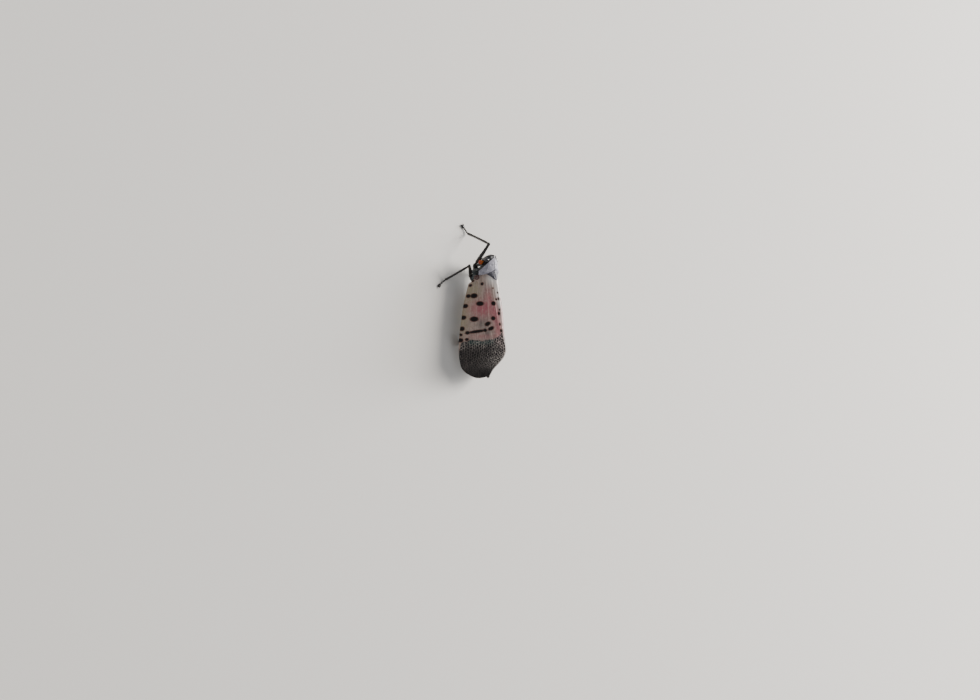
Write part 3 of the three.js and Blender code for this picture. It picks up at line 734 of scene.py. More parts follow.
@dataclass(frozen=True)
class ForewingMembrane(Finish):
    """Folded forewing: leathery, satin, rose-grey membrane with black spots and a netted tip.

    The cells of its net are drawn about twice as large as real ones, so that they show.
    """

    ground: str = "#b5a096"
    ground_shade: str = "#94827a"
    # Mark, colour and strength.
    tints: tuple[tuple[str, str, float], ...] = (
        ("cream", "#9d937c", 0.95), ("grey", "#6f6a66", 0.9), ("rose", "#ad5e68", 1.0),
        # The near-white tint is a painted highlight: the bright strip by the ridge where the right-hand
        # light falls.
        ("wax", "#e6e1dc", 0.95),
    )
    # Colour, the distances outside the spot between which it fades, in millimetres, and strength.
    spot_layers: tuple[tuple[str, float, float, float], ...] = (
        ("#54281f", 0.12, 0.3, 0.75), ("#120b09", 0.04, 0.16, 1.0),
    )
    vein_colour: str = "#cdbfb4"
    vein_strength: float = 0.22
    cell_dark: str = "#0f0d0e"
    cell_light: str = "#2b2526"
    cell_teal: str = "#33423f"
    net_line: str = "#d2c8c0"
    net_line_rose: str = "#d8a8ae"
    net_line_width: float = 0.056
    long_line_strength: float = 0.2
    cell_length: float = 0.6
    cell_width: float = 0.44
    span_mm: float = 9.4
    relief_mm: float = 0.03

    def dress(self, tree: NodeTree) -> dict[str, object]:
        """The wing's own map is turned to millimetres; marks come from values at its vertices.

        Args:
            tree: the material's nodes.

        Returns:
            The shader's inputs.
        """
        own_map = add_node(tree, Step.OWN_MAP)
        spot = add_node(tree, Step.MAPPING, {
            "Vector": own_map, "Scale": (BODY_LENGTH, self.span_mm, 1)}).outputs[0]
        marks = {
            mark: add_node(tree, Step.MARK, attribute_name=mark).outputs["Fac"]
            for mark in ("spot", "net", "lattice", "teal", "rose", "cream", "grey", "wax", "vein")}
        fine = add_node(tree, Step.NOISE, {
            "Vector": spot, "Scale": 7.0, "Detail": 5.0, "Roughness": 0.65}).outputs[0]
        wander = add_node(tree, Step.NOISE, {"Vector": spot, "Scale": 1.1, "Detail": 3.0})
        wing = WingNodes(tree, spot, fine, wander, marks)
        front = self.spotted_colour(wing, self.membrane_colour(wing))
        cells = self.cells(wing)
        tip = self.tip_amount(wing)
        colour = add_node(tree, Step.BLEND, {0: tip, 6: front, 7: self.net_colour(wing, cells)})
        gloss = add_node(tree, Step.RANGE, {0: fine, 1: 0.3, 2: 0.7, 3: 0.42, 4: 0.62})
        return {"Base Color": colour.outputs[2], "Roughness": gloss,
                "Normal": self.relief(wing, tip, cells), "Specular IOR Level": 0.2}

    def membrane_colour(self, wing: WingNodes) -> NodeSocket:
        """The ground colour, with uneven patches of cream, grey and rose, a painted near-white
        highlight by the ridge, and pale veins.

        Args:
            wing: what the layers of the material share.

        Returns:
            The colour.
        """
        tree = wing.tree
        mottle = add_node(tree, Step.NOISE, {
            "Vector": wing.spot, "Scale": 1.6, "Detail": 7.0, "Roughness": 0.62}).outputs[0]
        shade = add_node(tree, Step.RANGE, {0: mottle, 1: 0.35, 2: 0.65})
        colour = add_node(tree, Step.BLEND, {
            0: shade, 6: srgb(self.ground), 7: srgb(self.ground_shade)})
        for mark, tint, strength in self.tints:
            uneven = add_node(tree, Step.RANGE, {
                0: mottle, 1: 0.3, 2: 0.6, 3: 0.6 * strength, 4: strength})
            amount = add_node(tree, Step.TIMES, {0: wing.marks[mark], 1: uneven})
            colour = add_node(tree, Step.BLEND, {0: amount, 6: colour.outputs[2], 7: srgb(tint)})
        pale = add_node(tree, Step.TIMES, {0: wing.marks["vein"], 1: self.vein_strength})
        colour = add_node(tree, Step.BLEND, {
            0: pale, 6: colour.outputs[2], 7: srgb(self.vein_colour)})
        grain = add_node(tree, Step.RANGE, {0: wing.fine, 1: 0.3, 2: 0.7, 3: 0.84, 4: 1.08})
        return add_node(tree, Step.SCALED, {0: colour.outputs[2], "Scale": grain}).outputs[0]

    def spotted_colour(self, wing: WingNodes, colour: NodeSocket) -> NodeSocket:
        """Black spots with a narrow red-brown rim. Their edge is roughened a little.

        Args:
            wing: what the layers of the material share.
            colour: the colour between the spots.

        Returns:
            The colour.
        """
        edge = add_node(wing.tree, Step.TIMES_PLUS, {0: wing.fine, 1: 0.26, 2: wing.marks["spot"]})
        for tint, inner, outer, strength in self.spot_layers:
            amount = add_node(wing.tree, Step.SOFT_RANGE, {
                0: edge, 1: inner, 2: outer, 3: strength, 4: 0.0})
            colour = add_node(wing.tree, Step.BLEND, {
                0: amount, 6: colour, 7: srgb(tint)}).outputs[2]
        return colour

    def cells(self, wing: WingNodes) -> Node:
        """Rows of small oblong cells between cross veins, bent and shaken so that none are alike.

        Args:
            wing: what the layers of the material share.

        Returns:
            The node that draws the cells.
        """
        bent = add_node(wing.tree, Step.SHIFTED, {
            0: wing.wander.outputs[1], 1: (0.9, 0.7, 0.0), 2: wing.spot})
        jitter = add_node(wing.tree, Step.NOISE, {"Vector": wing.spot, "Scale": 5.5, "Detail": 1.0})
        shaken = add_node(wing.tree, Step.SHIFTED, {
            0: jitter.outputs[1], 1: (0.3, 0.16, 0.0), 2: bent})
        return add_node(wing.tree, Step.BRICKS, {
            "Vector": shaken, "Color1": srgb(self.cell_dark), "Color2": srgb(self.cell_light),
            "Scale": 1.0, "Mortar Size": self.net_line_width, "Mortar Smooth": 0.55,
            "Brick Width": self.cell_length, "Row Height": self.cell_width})

    def tip_amount(self, wing: WingNodes) -> NodeSocket:
        """1 on the netted tip and 0 in front of its ragged border.

        Args:
            wing: what the layers of the material share.

        Returns:
            The amount.
        """
        ragged = add_node(wing.tree, Step.TIMES_PLUS, {
            0: wing.wander, 1: 1.1, 2: wing.marks["net"]})
        return add_node(wing.tree, Step.SOFT_RANGE, {0: ragged, 1: 0.42, 2: 0.7}).outputs[0]

    def net_colour(self, wing: WingNodes, cells: Node) -> NodeSocket:
        """Dark cells between fine pale lines, which are bright along the back and fade to the tip.

        Args:
            wing: what the layers of the material share.
            cells: the net of cells.

        Returns:
            The colour.
        """
        tree, marks = wing.tree, wing.marks
        cell = add_node(tree, Step.BLEND, {
            0: marks["teal"], 6: cells.outputs["Color"], 7: srgb(self.cell_teal)})
        long_line = add_node(tree, Step.TIMES, {0: marks["vein"], 1: self.long_line_strength})
        line = add_node(tree, Step.LARGER, {0: cells.outputs["Fac"], 1: long_line})
        uneven = add_node(tree, Step.RANGE, {0: wing.wander, 1: 0.35, 2: 0.65, 3: 0.45, 4: 1.0})
        bright = add_node(tree, Step.TIMES, {0: marks["lattice"], 1: uneven})
        amount = add_node(tree, Step.TIMES, {0: line, 1: bright})
        tint = add_node(tree, Step.BLEND, {
            0: marks["rose"], 6: srgb(self.net_line), 7: srgb(self.net_line_rose)})
        return add_node(tree, Step.BLEND, {
            0: amount, 6: cell.outputs[2], 7: tint.outputs[2]}).outputs[2]

    def relief(self, wing: WingNodes, tip: NodeSocket, cells: Node) -> NodeSocket:
        """The net stands up, faint on the front of the wing and clear at its tip.

        Args:
            wing: what the layers of the material share.
            tip: 1 on the netted tip.
            cells: the net of cells.

        Returns:
            The normal.
        """
        net_height = add_node(wing.tree, Step.RANGE, {0: tip, 3: 0.22})
        raised = add_node(wing.tree, Step.TIMES, {0: cells.outputs["Fac"], 1: net_height})
        height = add_node(wing.tree, Step.TIMES_PLUS, {0: wing.fine, 1: 0.5, 2: raised})
        return add_node(wing.tree, Step.BUMP, {
            "Strength": 0.6, "Distance": self.relief_mm * MM, "Height": height}).outputs[0]


@dataclass(frozen=True)
class HindwingMembrane(Finish):
    """Folded hindwing: red with black spots, a pale band and a dark netted tip."""

    def dress(self, tree: NodeTree) -> dict[str, object]:
        """Zones along the wing come from the distance kept at its vertices.

        Args:
            tree: the material's nodes.

        Returns:
            The shader's inputs.
        """
        spot = self.millimetres(tree)
        along = add_node(tree, Step.MARK, attribute_name="along")
        wander = add_node(tree, Step.NOISE, {"Vector": spot, "Scale": 0.8, "Detail": 4.0})
        shaken = add_node(tree, Step.TIMES_PLUS, {0: wander, 1: 0.14, 2: along.outputs["Fac"]})
        blots = add_node(tree, Step.GRAINS, {"Vector": spot, "Scale": 0.62, "Randomness": 0.8})
        dotted = add_node(tree, Step.RANGE, {
            0: blots.outputs["Distance"], 1: 0.26, 2: 0.3, 3: 1.0, 4: 0.0})
        red = add_node(tree, Step.BLEND, {0: dotted, 6: srgb("#b5202a"), 7: srgb("#191012")})
        band = add_node(tree, Step.RANGE, {0: shaken, 1: 0.6, 2: 0.63})
        pale = add_node(tree, Step.BLEND, {0: band, 6: red.outputs[2], 7: srgb("#d9d2c8")})
        dark = add_node(tree, Step.RANGE, {0: shaken, 1: 0.8, 2: 0.83})
        colour = add_node(tree, Step.BLEND, {0: dark, 6: pale.outputs[2], 7: srgb("#26211f")})
        relief = add_node(tree, Step.BUMP, {
            "Strength": 0.4, "Distance": 0.03 * MM, "Height": wander})
        return {"Base Color": colour.outputs[2], "Normal": relief, "Roughness": 0.5}


@dataclass(frozen=True)
class BandedCuticle(Finish):
    """Abdomen: soft yellow cuticle with a black band on each ring and a bloom of white wax."""

    def dress(self, tree: NodeTree) -> dict[str, object]:
        """The place within each ring comes from the value kept at its vertices.

        Args:
            tree: the material's nodes.

        Returns:
            The shader's inputs.
        """
        spot = self.millimetres(tree)
        band = add_node(tree, Step.MARK, attribute_name="band")
        clouds = add_node(tree, Step.NOISE, {
            "Vector": spot, "Scale": 1.4, "Detail": 5.0, "Roughness": 0.6})
        fine = add_node(tree, Step.NOISE, {"Vector": spot, "Scale": 11.0, "Detail": 3.0})
        shaken = add_node(tree, Step.TIMES_PLUS, {0: clouds, 1: 0.3, 2: band.outputs["Fac"]})
        dark = add_node(tree, Step.SOFT_RANGE, {0: shaken, 1: 0.6, 2: 0.68})
        yellow = add_node(tree, Step.BLEND, {0: clouds, 6: srgb("#c79a1e"), 7: srgb("#e0bf4a")})
        colour = add_node(tree, Step.BLEND, {0: dark, 6: yellow.outputs[2], 7: srgb("#1b1816")})
        bloom = add_node(tree, Step.RANGE, {0: clouds, 1: 0.52, 2: 0.72, 3: 0.0, 4: 0.35})
        colour = add_node(tree, Step.BLEND, {0: bloom, 6: colour.outputs[2], 7: srgb("#cfccc2")})
        relief = add_node(tree, Step.BUMP, {"Strength": 0.5, "Distance": 0.03 * MM, "Height": fine})
        return {"Base Color": colour.outputs[2], "Normal": relief, "Roughness": 0.52}


@dataclass(frozen=True)
class FloorBoard(Finish):
    """Matt painted board: plain and pale."""

    def dress(self, tree: NodeTree) -> dict[str, object]:
        """A faint tooth in the paint.

        Args:
            tree: the material's nodes.

        Returns:
            The shader's inputs.
        """
        spot = self.millimetres(tree)
        tooth = add_node(tree, Step.NOISE, {"Vector": spot, "Scale": 0.6, "Detail": 3.0})
        relief = add_node(tree, Step.BUMP, {
            "Strength": 0.06, "Distance": 0.1 * MM, "Height": tooth})
        return {"Normal": relief, "Base Color": srgb("#dcd9d4"), "Roughness": 0.85}


HEAD_CUTICLE = Cuticle("waxed_head_cuticle", base="#16161a", wax="#5d626b", wax_share=0.45,
                       patch_mm=0.7, roughness=0.32)
BODY_CUTICLE = Cuticle("waxed_body_cuticle", base="#1c2024", wax="#7d8b8d", wax_share=0.55,
                       patch_mm=0.8, roughness=0.45)
LEG_CUTICLE = Cuticle("polished_leg_cuticle", base="#1a1615", wax="#6b6460", wax_share=0.22,
                      patch_mm=0.6, pit_mm=0.07, roughness=0.34)
COLLAR_CUTICLE = Cuticle("pale_collar_cuticle", base="#8a8893", wax="#b9b7c2", wax_share=0.7,
                         patch_mm=0.8, pit_mm=0.1, roughness=0.55)
SCUTELLUM_CUTICLE = Cuticle("slate_back_plate_cuticle", base="#3d3c47", wax="#71717e", wax_share=0.5,
                            patch_mm=0.7, pit_mm=0.1, roughness=0.5)
SCALE_CUTICLE = Cuticle("brown_hinge_scale_cuticle", base="#4a2a26", wax="#8a7f7c", wax_share=0.5,
                        patch_mm=0.4, pit_mm=0.08, roughness=0.5)
BRISTLE_CUTICLE = Cuticle("dark_bristle_cuticle", base="#2a1c16", wax="#5a4a40", wax_share=0.1,
                          roughness=0.4)
OCELLUS_CUTICLE = Cuticle("amber_ocellus_cuticle", base="#70331b", wax="#97603f", wax_share=0.3,
                          roughness=0.15)


# Wings


# Behind the abdomen the ridge falls in a round line to the wing tips, where the slopes close in.
RIDGE_HEIGHT = Profile((
    (4, 7.35), (6, 7.85), (11, 8.85), (16, 9.45), (18, 9.75), (19.6, 10.15), (21, 9.7), (22.4, 8.3),
    (23.8, 6.5), (26, 5.2),
))
COSTAL_HALF_WIDTH = Profile((
    (4, 3.1), (6, 3.75), (11, 4.85), (16, 5.45), (19, 5.65), (22, 4.95), (24, 3.9), (26, 2.2),
))
COSTAL_HEIGHT = Profile((
    (4, 3.6), (6, 3.3), (11, 2.75), (16, 2.4), (19, 2.25), (22, 1.9), (24, 1.6), (26, 1.4),
))


@dataclass(frozen=True)
class Roof:
    """The roof that the folded wings form: a curve from the ridge down to the costal edge."""

    ridge_out: float = 0.04
    shoulder_out: float = 0.62
    shoulder_drop: float = 0.25

    def corners(self, station: Array) -> tuple[Array, ...]:
        """Ridge, shoulder and edge of the curve at each station, as x and z in turn.

        Args:
            station: the station of each place.

        Returns:
            Six values for each station.
        """
        ridge_z = RIDGE_HEIGHT.at(station)
        edge_x = COSTAL_HALF_WIDTH.at(station)
        edge_z = COSTAL_HEIGHT.at(station)
        shoulder_x = edge_x * self.shoulder_out
        shoulder_z = ridge_z + (edge_z - ridge_z) * self.shoulder_drop
        ridge_x = np.full_like(ridge_z, self.ridge_out)
        return ridge_x, ridge_z, shoulder_x, shoulder_z, edge_x, edge_z

    def points(self, station: Array, across: Array) -> Array:
        """Points of the right-hand slope, in rows of x, y and z.

        Args:
            station: the station of each place.
            across: the place across the wing, from 0 to 1.

        Returns:
            The points.
        """
        ridge_x, ridge_z, shoulder_x, shoulder_z, edge_x, edge_z = self.corners(station)
        near, middle, far = (1 - across) ** 2, 2 * across * (1 - across), across ** 2
        x = near * ridge_x + middle * shoulder_x + far * edge_x
        z = near * ridge_z + middle * shoulder_z + far * edge_z
        return rows(x, station, z)

    def normals(self, station: Array, across: Array) -> Array:
        """Directions straight out of the right-hand slope.

        Args:
            station: the station of each place.
            across: the place across the wing, from 0 to 1.

        Returns:
            The directions, of length 1.
        """
        step = 0.01
        ahead = self.points(station - step, across) - self.points(station + step, across)
        down = self.points(station, across + step) - self.points(station, across - step)
        out = np.cross(down, ahead)
        return out / np.linalg.norm(out, axis=1, keepdims=True)

    def girth(self, station: Array) -> Array:
        """The length of the curve at each station."""
        lines = [self.points(station, np.full_like(station, t)) for t in np.linspace(0, 1, 17)]
        return sum(np.linalg.norm(b - a, axis=1) for a, b in zip(lines, lines[1:]))

    def across_at(self, station: Array, x: Array) -> Array:
        """The place across the slope where it is x out from the middle.

        Args:
            station: the station of each place.
            x: the distance out from the middle.

        Returns:
            The place, from 0 to 1.
        """
        ridge_x, _, shoulder_x, _, edge_x, _ = self.corners(station)
        square = ridge_x - 2 * shoulder_x + edge_x
        slope = 2 * (shoulder_x - ridge_x)
        root = np.sqrt(np.maximum(slope ** 2 - 4 * square * (ridge_x - x), 0))
        return np.clip((root - slope) / (2 * square), 0, 1)

    def tuck_under(self, points: Array, depth: float, first_station: float) -> Array:
        """Pushes points that reach the roof down to a depth below it.

        Args:
            points: rows of x, y and z.
            depth: how far below the roof they must be.
            first_station: the station from which they are pushed.

        Returns:
            The points in their new places.
        """
        tucked = points.copy()
        station = stations_of(points)
        folded = np.abs(points[:, 0])
        highest = np.full(len(points), -np.inf)
        push = np.zeros_like(points)
        for share in np.linspace(0, 1, 21):
            across = np.full(len(points), share)
            base, out = self.points(station, across), self.normals(station, across)
            height = out[:, 0] * (folded - base[:, 0]) + out[:, 2] * (points[:, 2] - base[:, 2])
            higher = height > highest
            highest = np.where(higher, height, highest)
            push[higher] = out[higher]
        amount = np.maximum(highest + depth, 0)
        amount *= smooth_step(first_station - 0.4, first_station, station)
        tucked[:, 0] -= np.sign(points[:, 0]) * push[:, 0] * amount
        tucked[:, 2] -= push[:, 2] * amount
        return tucked


def apex_station(across: Array, end: float, depth_inner: float, depth_costal: float) -> Array:
    """How far back the rounded wing margin lies at a place across the wing.

    Args:
        across: the place across the wing, from 0 to 1.
        end: the rearmost station.
        depth_inner: how far ahead of that the margin ends at the ridge.
        depth_costal: how far ahead of that it ends at the costal edge.

    Returns:
        The station of the margin.
    """
    apex_across, roundness = 0.5, 1.9
    inner = across < apex_across
    span = np.where(inner, apex_across, 1 - apex_across)
    t = np.minimum(np.abs(across - apex_across) / span, 1)
    rise = 1 - (1 - t ** roundness) ** (1 / roundness)
    return end - np.where(inner, depth_inner, depth_costal) * rise


@dataclass(frozen=True)
class Vein:
    """A long vein, as places across the wing at shares of its length."""

    shares: tuple[float, ...]
    places: tuple[float, ...]

    def strength(self, share: Array) -> Array:
        """1 along the vein, fading to 0 at its ends.

        Args:
            share: the share of the wing's length.

        Returns:
            The strength.
        """
        start = smooth_step(self.shares[0] - 0.01, self.shares[0] + 0.05, share)
        stop = 1 - smooth_step(self.shares[-1] - 0.06, self.shares[-1], share)
        return start * (1.0 if self.shares[-1] >= 1 else stop)

    def distance(self, share: Array, across: Array, girth: Array) -> Array:
        """How far each place is from the vein, in millimetres."""
        return np.abs(across - np.interp(share, self.shares, self.places)) * girth


@dataclass(frozen=True)
class Spot:
    """A black spot: its place, its size across and along the wing, and its slant in degrees."""

    station: float
    across: float
    width: float
    length: float
    slant: float = 0.0

    def distance(self, station: Array, across: Array, girth: Array) -> Array:
        """How far each place is outside the spot, in millimetres, and less than 0 inside.

        Args:
            station: the station of each place.
            across: the place across the wing, from 0 to 1.
            girth: the slope's width there.

        Returns:
            The distance.
        """
        sideways = (across - self.across) * girth
        along = station - self.station
        turn = math.radians(self.slant)
        first = sideways * math.cos(turn) + along * math.sin(turn)
        second = -sideways * math.sin(turn) + along * math.cos(turn)
        half_width, half_length = self.width / 2, self.length / 2
        reach = np.sqrt((first / half_width) ** 2 + (second / half_length) ** 2)
        return (reach - 1) * min(half_width, half_length)


FOREWING_VEINS = (
    Vein((0, 0.55), (0.24, 0.1)),
    Vein((0, 1), (0.42, 0.28)),
    Vein((0.5, 0.62, 1), (0.35, 0.3, 0.18)),
    Vein((0, 1), (0.55, 0.47)),
    Vein((0.45, 0.55, 1), (0.514, 0.47, 0.38)),
    Vein((0, 1), (0.68, 0.66)),
    Vein((0.42, 0.55, 1), (0.672, 0.63, 0.565)),
    Vein((0.6, 0.7, 1), (0.668, 0.7, 0.75)),
    Vein((0, 0.95), (0.82, 0.84)),
    Vein((0.55, 0.65, 1), (0.831, 0.87, 0.93)),
)

FOREWING_SPOTS = (
    Spot(6.08, 0.568, 0.62, 0.6), Spot(5.48, 0.887, 0.45, 0.42), Spot(6.42, 0.932, 0.6, 0.55),
    Spot(8.56, 0.777, 1.3, 0.98), Spot(8.62, 0.927, 0.78, 0.7), Spot(8.6, 0.86, 0.7, 0.26),
    Spot(10.19, 0.598, 1.5, 0.92), Spot(10.15, 0.21, 1.05, 0.86), Spot(10.69, 0.953, 0.95, 0.82),
    Spot(13.1, 0.963, 1.05, 0.82), Spot(13.4, 0.72, 1.6, 1.02), Spot(13.23, 0.245, 0.98, 0.82),
    Spot(14.38, 0.393, 1.28, 0.8, 25), Spot(15.33, 0.31, 1.35, 0.74, 22),
    Spot(16.24, 0.845, 0.85, 0.68), Spot(15.96, 0.645, 3.6, 0.56, 8.4), Spot(15.72, 0.46, 0.8, 0.66),
    Spot(15.4, 0.963, 0.9, 0.88), Spot(16.67, 0.975, 0.55, 0.5), Spot(17.79, 0.97, 0.95, 0.8),
    Spot(17.63, 0.848, 0.7, 0.56), Spot(6.98, 0.188, 0.3, 0.28), Spot(7.9, 0.035, 0.34, 0.32),
    Spot(9.17, 0.035, 0.42, 0.6), Spot(9.29, 0.11, 0.42, 0.4), Spot(11.44, 0.04, 0.38, 0.42),
    Spot(12.23, 0.07, 0.62, 0.68), Spot(14.46, 0.065, 0.5, 0.58), Spot(15.77, 0.04, 0.6, 0.66),
)


@dataclass(frozen=True)
class ColourPatch:
    """A soft patch of colour on the wing: its centre, its half sizes and its strength."""

    station: float
    across: float
    half_width: float
    half_length: float
    strength: float = 1.0

    def amount(self, station: Array, across: Array, girth: Array) -> Array:
        """Full strength in the middle of the patch, fading outwards.

        Args:
            station: the station of each place.
            across: the place across the wing, from 0 to 1.
            girth: the slope's width there.

        Returns:
            The amount.
        """
        sideways = (across - self.across) * girth / self.half_width
        along = (station - self.station) / self.half_length
        return self.strength * np.exp(-(sideways ** 2 + along ** 2))


COLOUR_PATCHES = {
    "rose": (
        ColourPatch(11.3, 0.52, 2.5, 1.8, 0.95), ColourPatch(8.6, 0.36, 0.8, 1.7, 0.55),
        ColourPatch(12.2, 0.15, 1.1, 2.2, 0.6), ColourPatch(15.4, 0.12, 0.9, 2.8, 0.7),
        ColourPatch(17.0, 0.5, 2.8, 0.6, 0.45),
    ),
    "cream": (ColourPatch(12.6, 0.97, 1.2, 5.0), ColourPatch(7.6, 0.8, 1.3, 1.8)),
    "grey": (ColourPatch(14.2, 0.54, 1.0, 1.1), ColourPatch(16.4, 0.4, 0.7, 0.8)),
    # The near-white patches by the ridge are a painted highlight, where the right-hand light falls
    # brightest.
    "wax": (ColourPatch(8.0, 0.0, 0.75, 4.4), ColourPatch(5.0, 0.22, 1.1, 1.3)),
}


@dataclass(frozen=True)
class PlateEdge:
    """The slanting side of the back plate, which the wings' inner edges follow."""

    front: float = 3.4
    tip: float = 5.3
    front_half_width: float = 2.15
    tip_half_width: float = 0.12
    gap: float = 0.05

    def half_width(self, station: Array) -> Array:
        """Half the plate's width at each station."""
        t = (station - self.front) / (self.tip - self.front)
        return self.front_half_width + (self.tip_half_width - self.front_half_width) * t

    def clear_of(self, station: Array) -> Array:
        """How far out a wing's inner edge stays to leave the plate clear."""
        return np.maximum(self.half_width(station) + self.gap, 0)


BACK_PLATE_EDGE = PlateEdge()


@dataclass(frozen=True)
class Forewings:
    """The two folded forewings, which meet along the back over the abdomen."""

    rows: int = 250
    columns: int = 118
    thickness: float = 0.13
    vein_height: float = 0.07
    vein_half_width: float = 0.085
    rim_height: float = 0.05
    tip_vein_drop: float = 0.6
    sag: float = 0.045
    middle_gap: float = 0.012
    root_inner: float = 3.72
    root_costal: float = 6.1
    length: float = 16.0
    end: float = 25.63
    # The line where the net begins: places across the wing and their stations.
    net_places: tuple[float, ...] = (0, 0.045, 0.22, 0.448, 0.78, 0.927, 0.96, 1)
    net_stations: tuple[float, ...] = (16.0, 16.3, 17.4, 17.8, 17.8, 18.05, 18.4, 20.4)
    roof: Roof = Roof()

    def lay(self, share: Array, column: Array) -> tuple[Array, Array]:
        """Station and place across for shares of the wing's length and width.

        Args:
            share: the share of the wing's length.
            column: the share of the wing's width.

        Returns:
            The stations and the places across.
        """
        across = column.copy()
        for _ in range(6):
            start = self.root_inner + (self.root_costal - self.root_inner) * across ** 4
            margin = apex_station(across, self.end, 0.9, 2.4)
            station = start + (margin - start) * share
            first = self.roof.across_at(station, BACK_PLATE_EDGE.clear_of(station))
            across = first + (1 - first) * column
        return station, across

    def relief(self, share: Array, across: Array, girth: Array) -> Array:
        """How strongly each place is part of a vein, from 0 to 1.

        Args:
            share: the share of the wing's length.
            across: the place across the wing, from 0 to 1.
            girth: the slope's width there.

        Returns:
            The strength.
        """
        strongest = np.zeros_like(share)
        for vein in FOREWING_VEINS:
            near = bump_at(vein.distance(share, across, girth), 0, self.vein_half_width)
            strongest = np.maximum(strongest, near * vein.strength(share))
        return strongest

    def build(self, side: Side, material: Material) -> Object:
        """Makes one wing: a shaped grid, given its thickness, its veins and its marks.

        Args:
            side: the side that it is on.
            material: its material.

        Returns:
            The wing.
        """
        piece, share, column = add_sheet(self.rows, self.columns)
        share = np.sin(share * np.pi / 2) ** 1.1
        station, across = self.lay(share, column)
        girth = self.roof.girth(station)
        veins = self.relief(share, across, girth)
        to_edge = np.minimum((1 - across) * girth, (1 - share) * self.length)
        rim = self.rim_height * (1 - smooth_step(0.06, 0.24, to_edge))
        lower = 1 - self.tip_vein_drop * smooth_step(17.5, 19.0, station)
        raised = self.vein_height * veins * lower + rim
        # Between the veins the membrane sags a little, so that it catches the light unevenly.
        sag = self.sag * np.sin(across * 34 + 3 * share) * np.sin(share * 21 + across * 5)
        points = self.roof.points(station, across)
        points += self.roof.normals(station, across) * (raised + sag * (1 - veins))[:, None]
        points[:, 0] = np.maximum(points[:, 0], self.roof.ridge_out) * side.value
        move_points(piece, points)
        thicken(piece, self.thickness)
        points = points_of(piece)
        points[:, 0] = side.value * np.maximum(points[:, 0] * side.value, self.middle_gap)
        move_points(piece, points)
        self.mark(piece, station, across, girth, veins)
        return settle(piece, f"wing_cover_{side.word}", material,
                      [f"forewing_{side.word}"], crease=55)

    def mark(self, piece: Object, station: Array, across: Array,
             girth: Array, veins: Array) -> None:
        """Keeps the marks of the wing at its vertices, alike on both faces.

        Args:
            piece: the piece.
            station: the station of each place.
            across: the place across the wing, from 0 to 1.
            girth: the slope's width there.
            veins: how strongly each place is part of a vein.
        """
        spots = np.min([spot.distance(station, across, girth) for spot in FOREWING_SPOTS], axis=0)
        behind = station - np.interp(across, self.net_places, self.net_stations)
        # The pale lines of the net are brightest along the back and just behind its front border.
        lattice = 0.17 + 0.9 * bump_at(across, 0, 0.36) * (1 - smooth_step(21.5, 24.5, station))
        lattice += 0.5 * bump_at(behind, 0.9, 0.8) * window(across, 0.5, 0.95, 0.1)
        lattice *= 1 - 0.75 * smooth_step(22.5, 25.3, station)
        teal = bump_at(behind, 0.4, 0.5) * window(across, 0.3, 0.78, 0.08)
        values = {"spot": spots, "net": behind, "vein": veins, "lattice": lattice, "teal": teal}
        for mark, patches in COLOUR_PATCHES.items():
            amounts = [patch.amount(station, across, girth) for patch in patches]
            values[mark] = np.clip(np.sum(amounts, axis=0), 0, 1)
        layers = len(piece.data.vertices) // len(station)
        for mark, value in values.items():
            float_attribute(piece, mark, np.tile(value, layers))
        pattern_map(piece, np.tile(station / BODY_LENGTH, layers), np.tile(across, layers))


@dataclass(frozen=True)
class Hindwings:
    """The two hindwings, folded below the forewings."""

    rows: int = 110
    columns: int = 60
    depth: float = 0.62
    pleat_depth: float = 0.05
    pleat_turns: float = 60.0
    middle_gap: float = 0.06
    thickness: float = 0.1
    root: float = 6.6
    end: float = 20.3
    inner: float = 0.08
    costal: float = 0.88
    roof: Roof = Roof(ridge_out=0.12)

    def build(self, side: Side, material: Material) -> Object:
        """Makes one hindwing as a pleated sheet with a thickness.

        Args:
            side: the side that it is on.
            material: its material.

        Returns:
            The wing.
        """
        piece, share, column = add_sheet(self.rows, self.columns)
        across = self.inner + (self.costal - self.inner) * column
        station = self.root + (apex_station(across, self.end, 2.6, 4) - self.root) * share
        pleat = self.pleat_depth * np.cos(across * self.pleat_turns)
        points = self.roof.points(station, across)
        points -= self.roof.normals(station, across) * (self.depth + pleat)[:, None]
        points[:, 0] = np.maximum(points[:, 0], self.middle_gap) * side.value
        move_points(piece, points)
        thicken(piece, self.thickness)
        layers = len(piece.data.vertices) // len(station)
        float_attribute(piece, "along", np.tile(share, layers))
        return settle(piece, f"under_wing_{side.word}", material,
                      [f"hindwing_{side.word}"], crease=55)


# Head


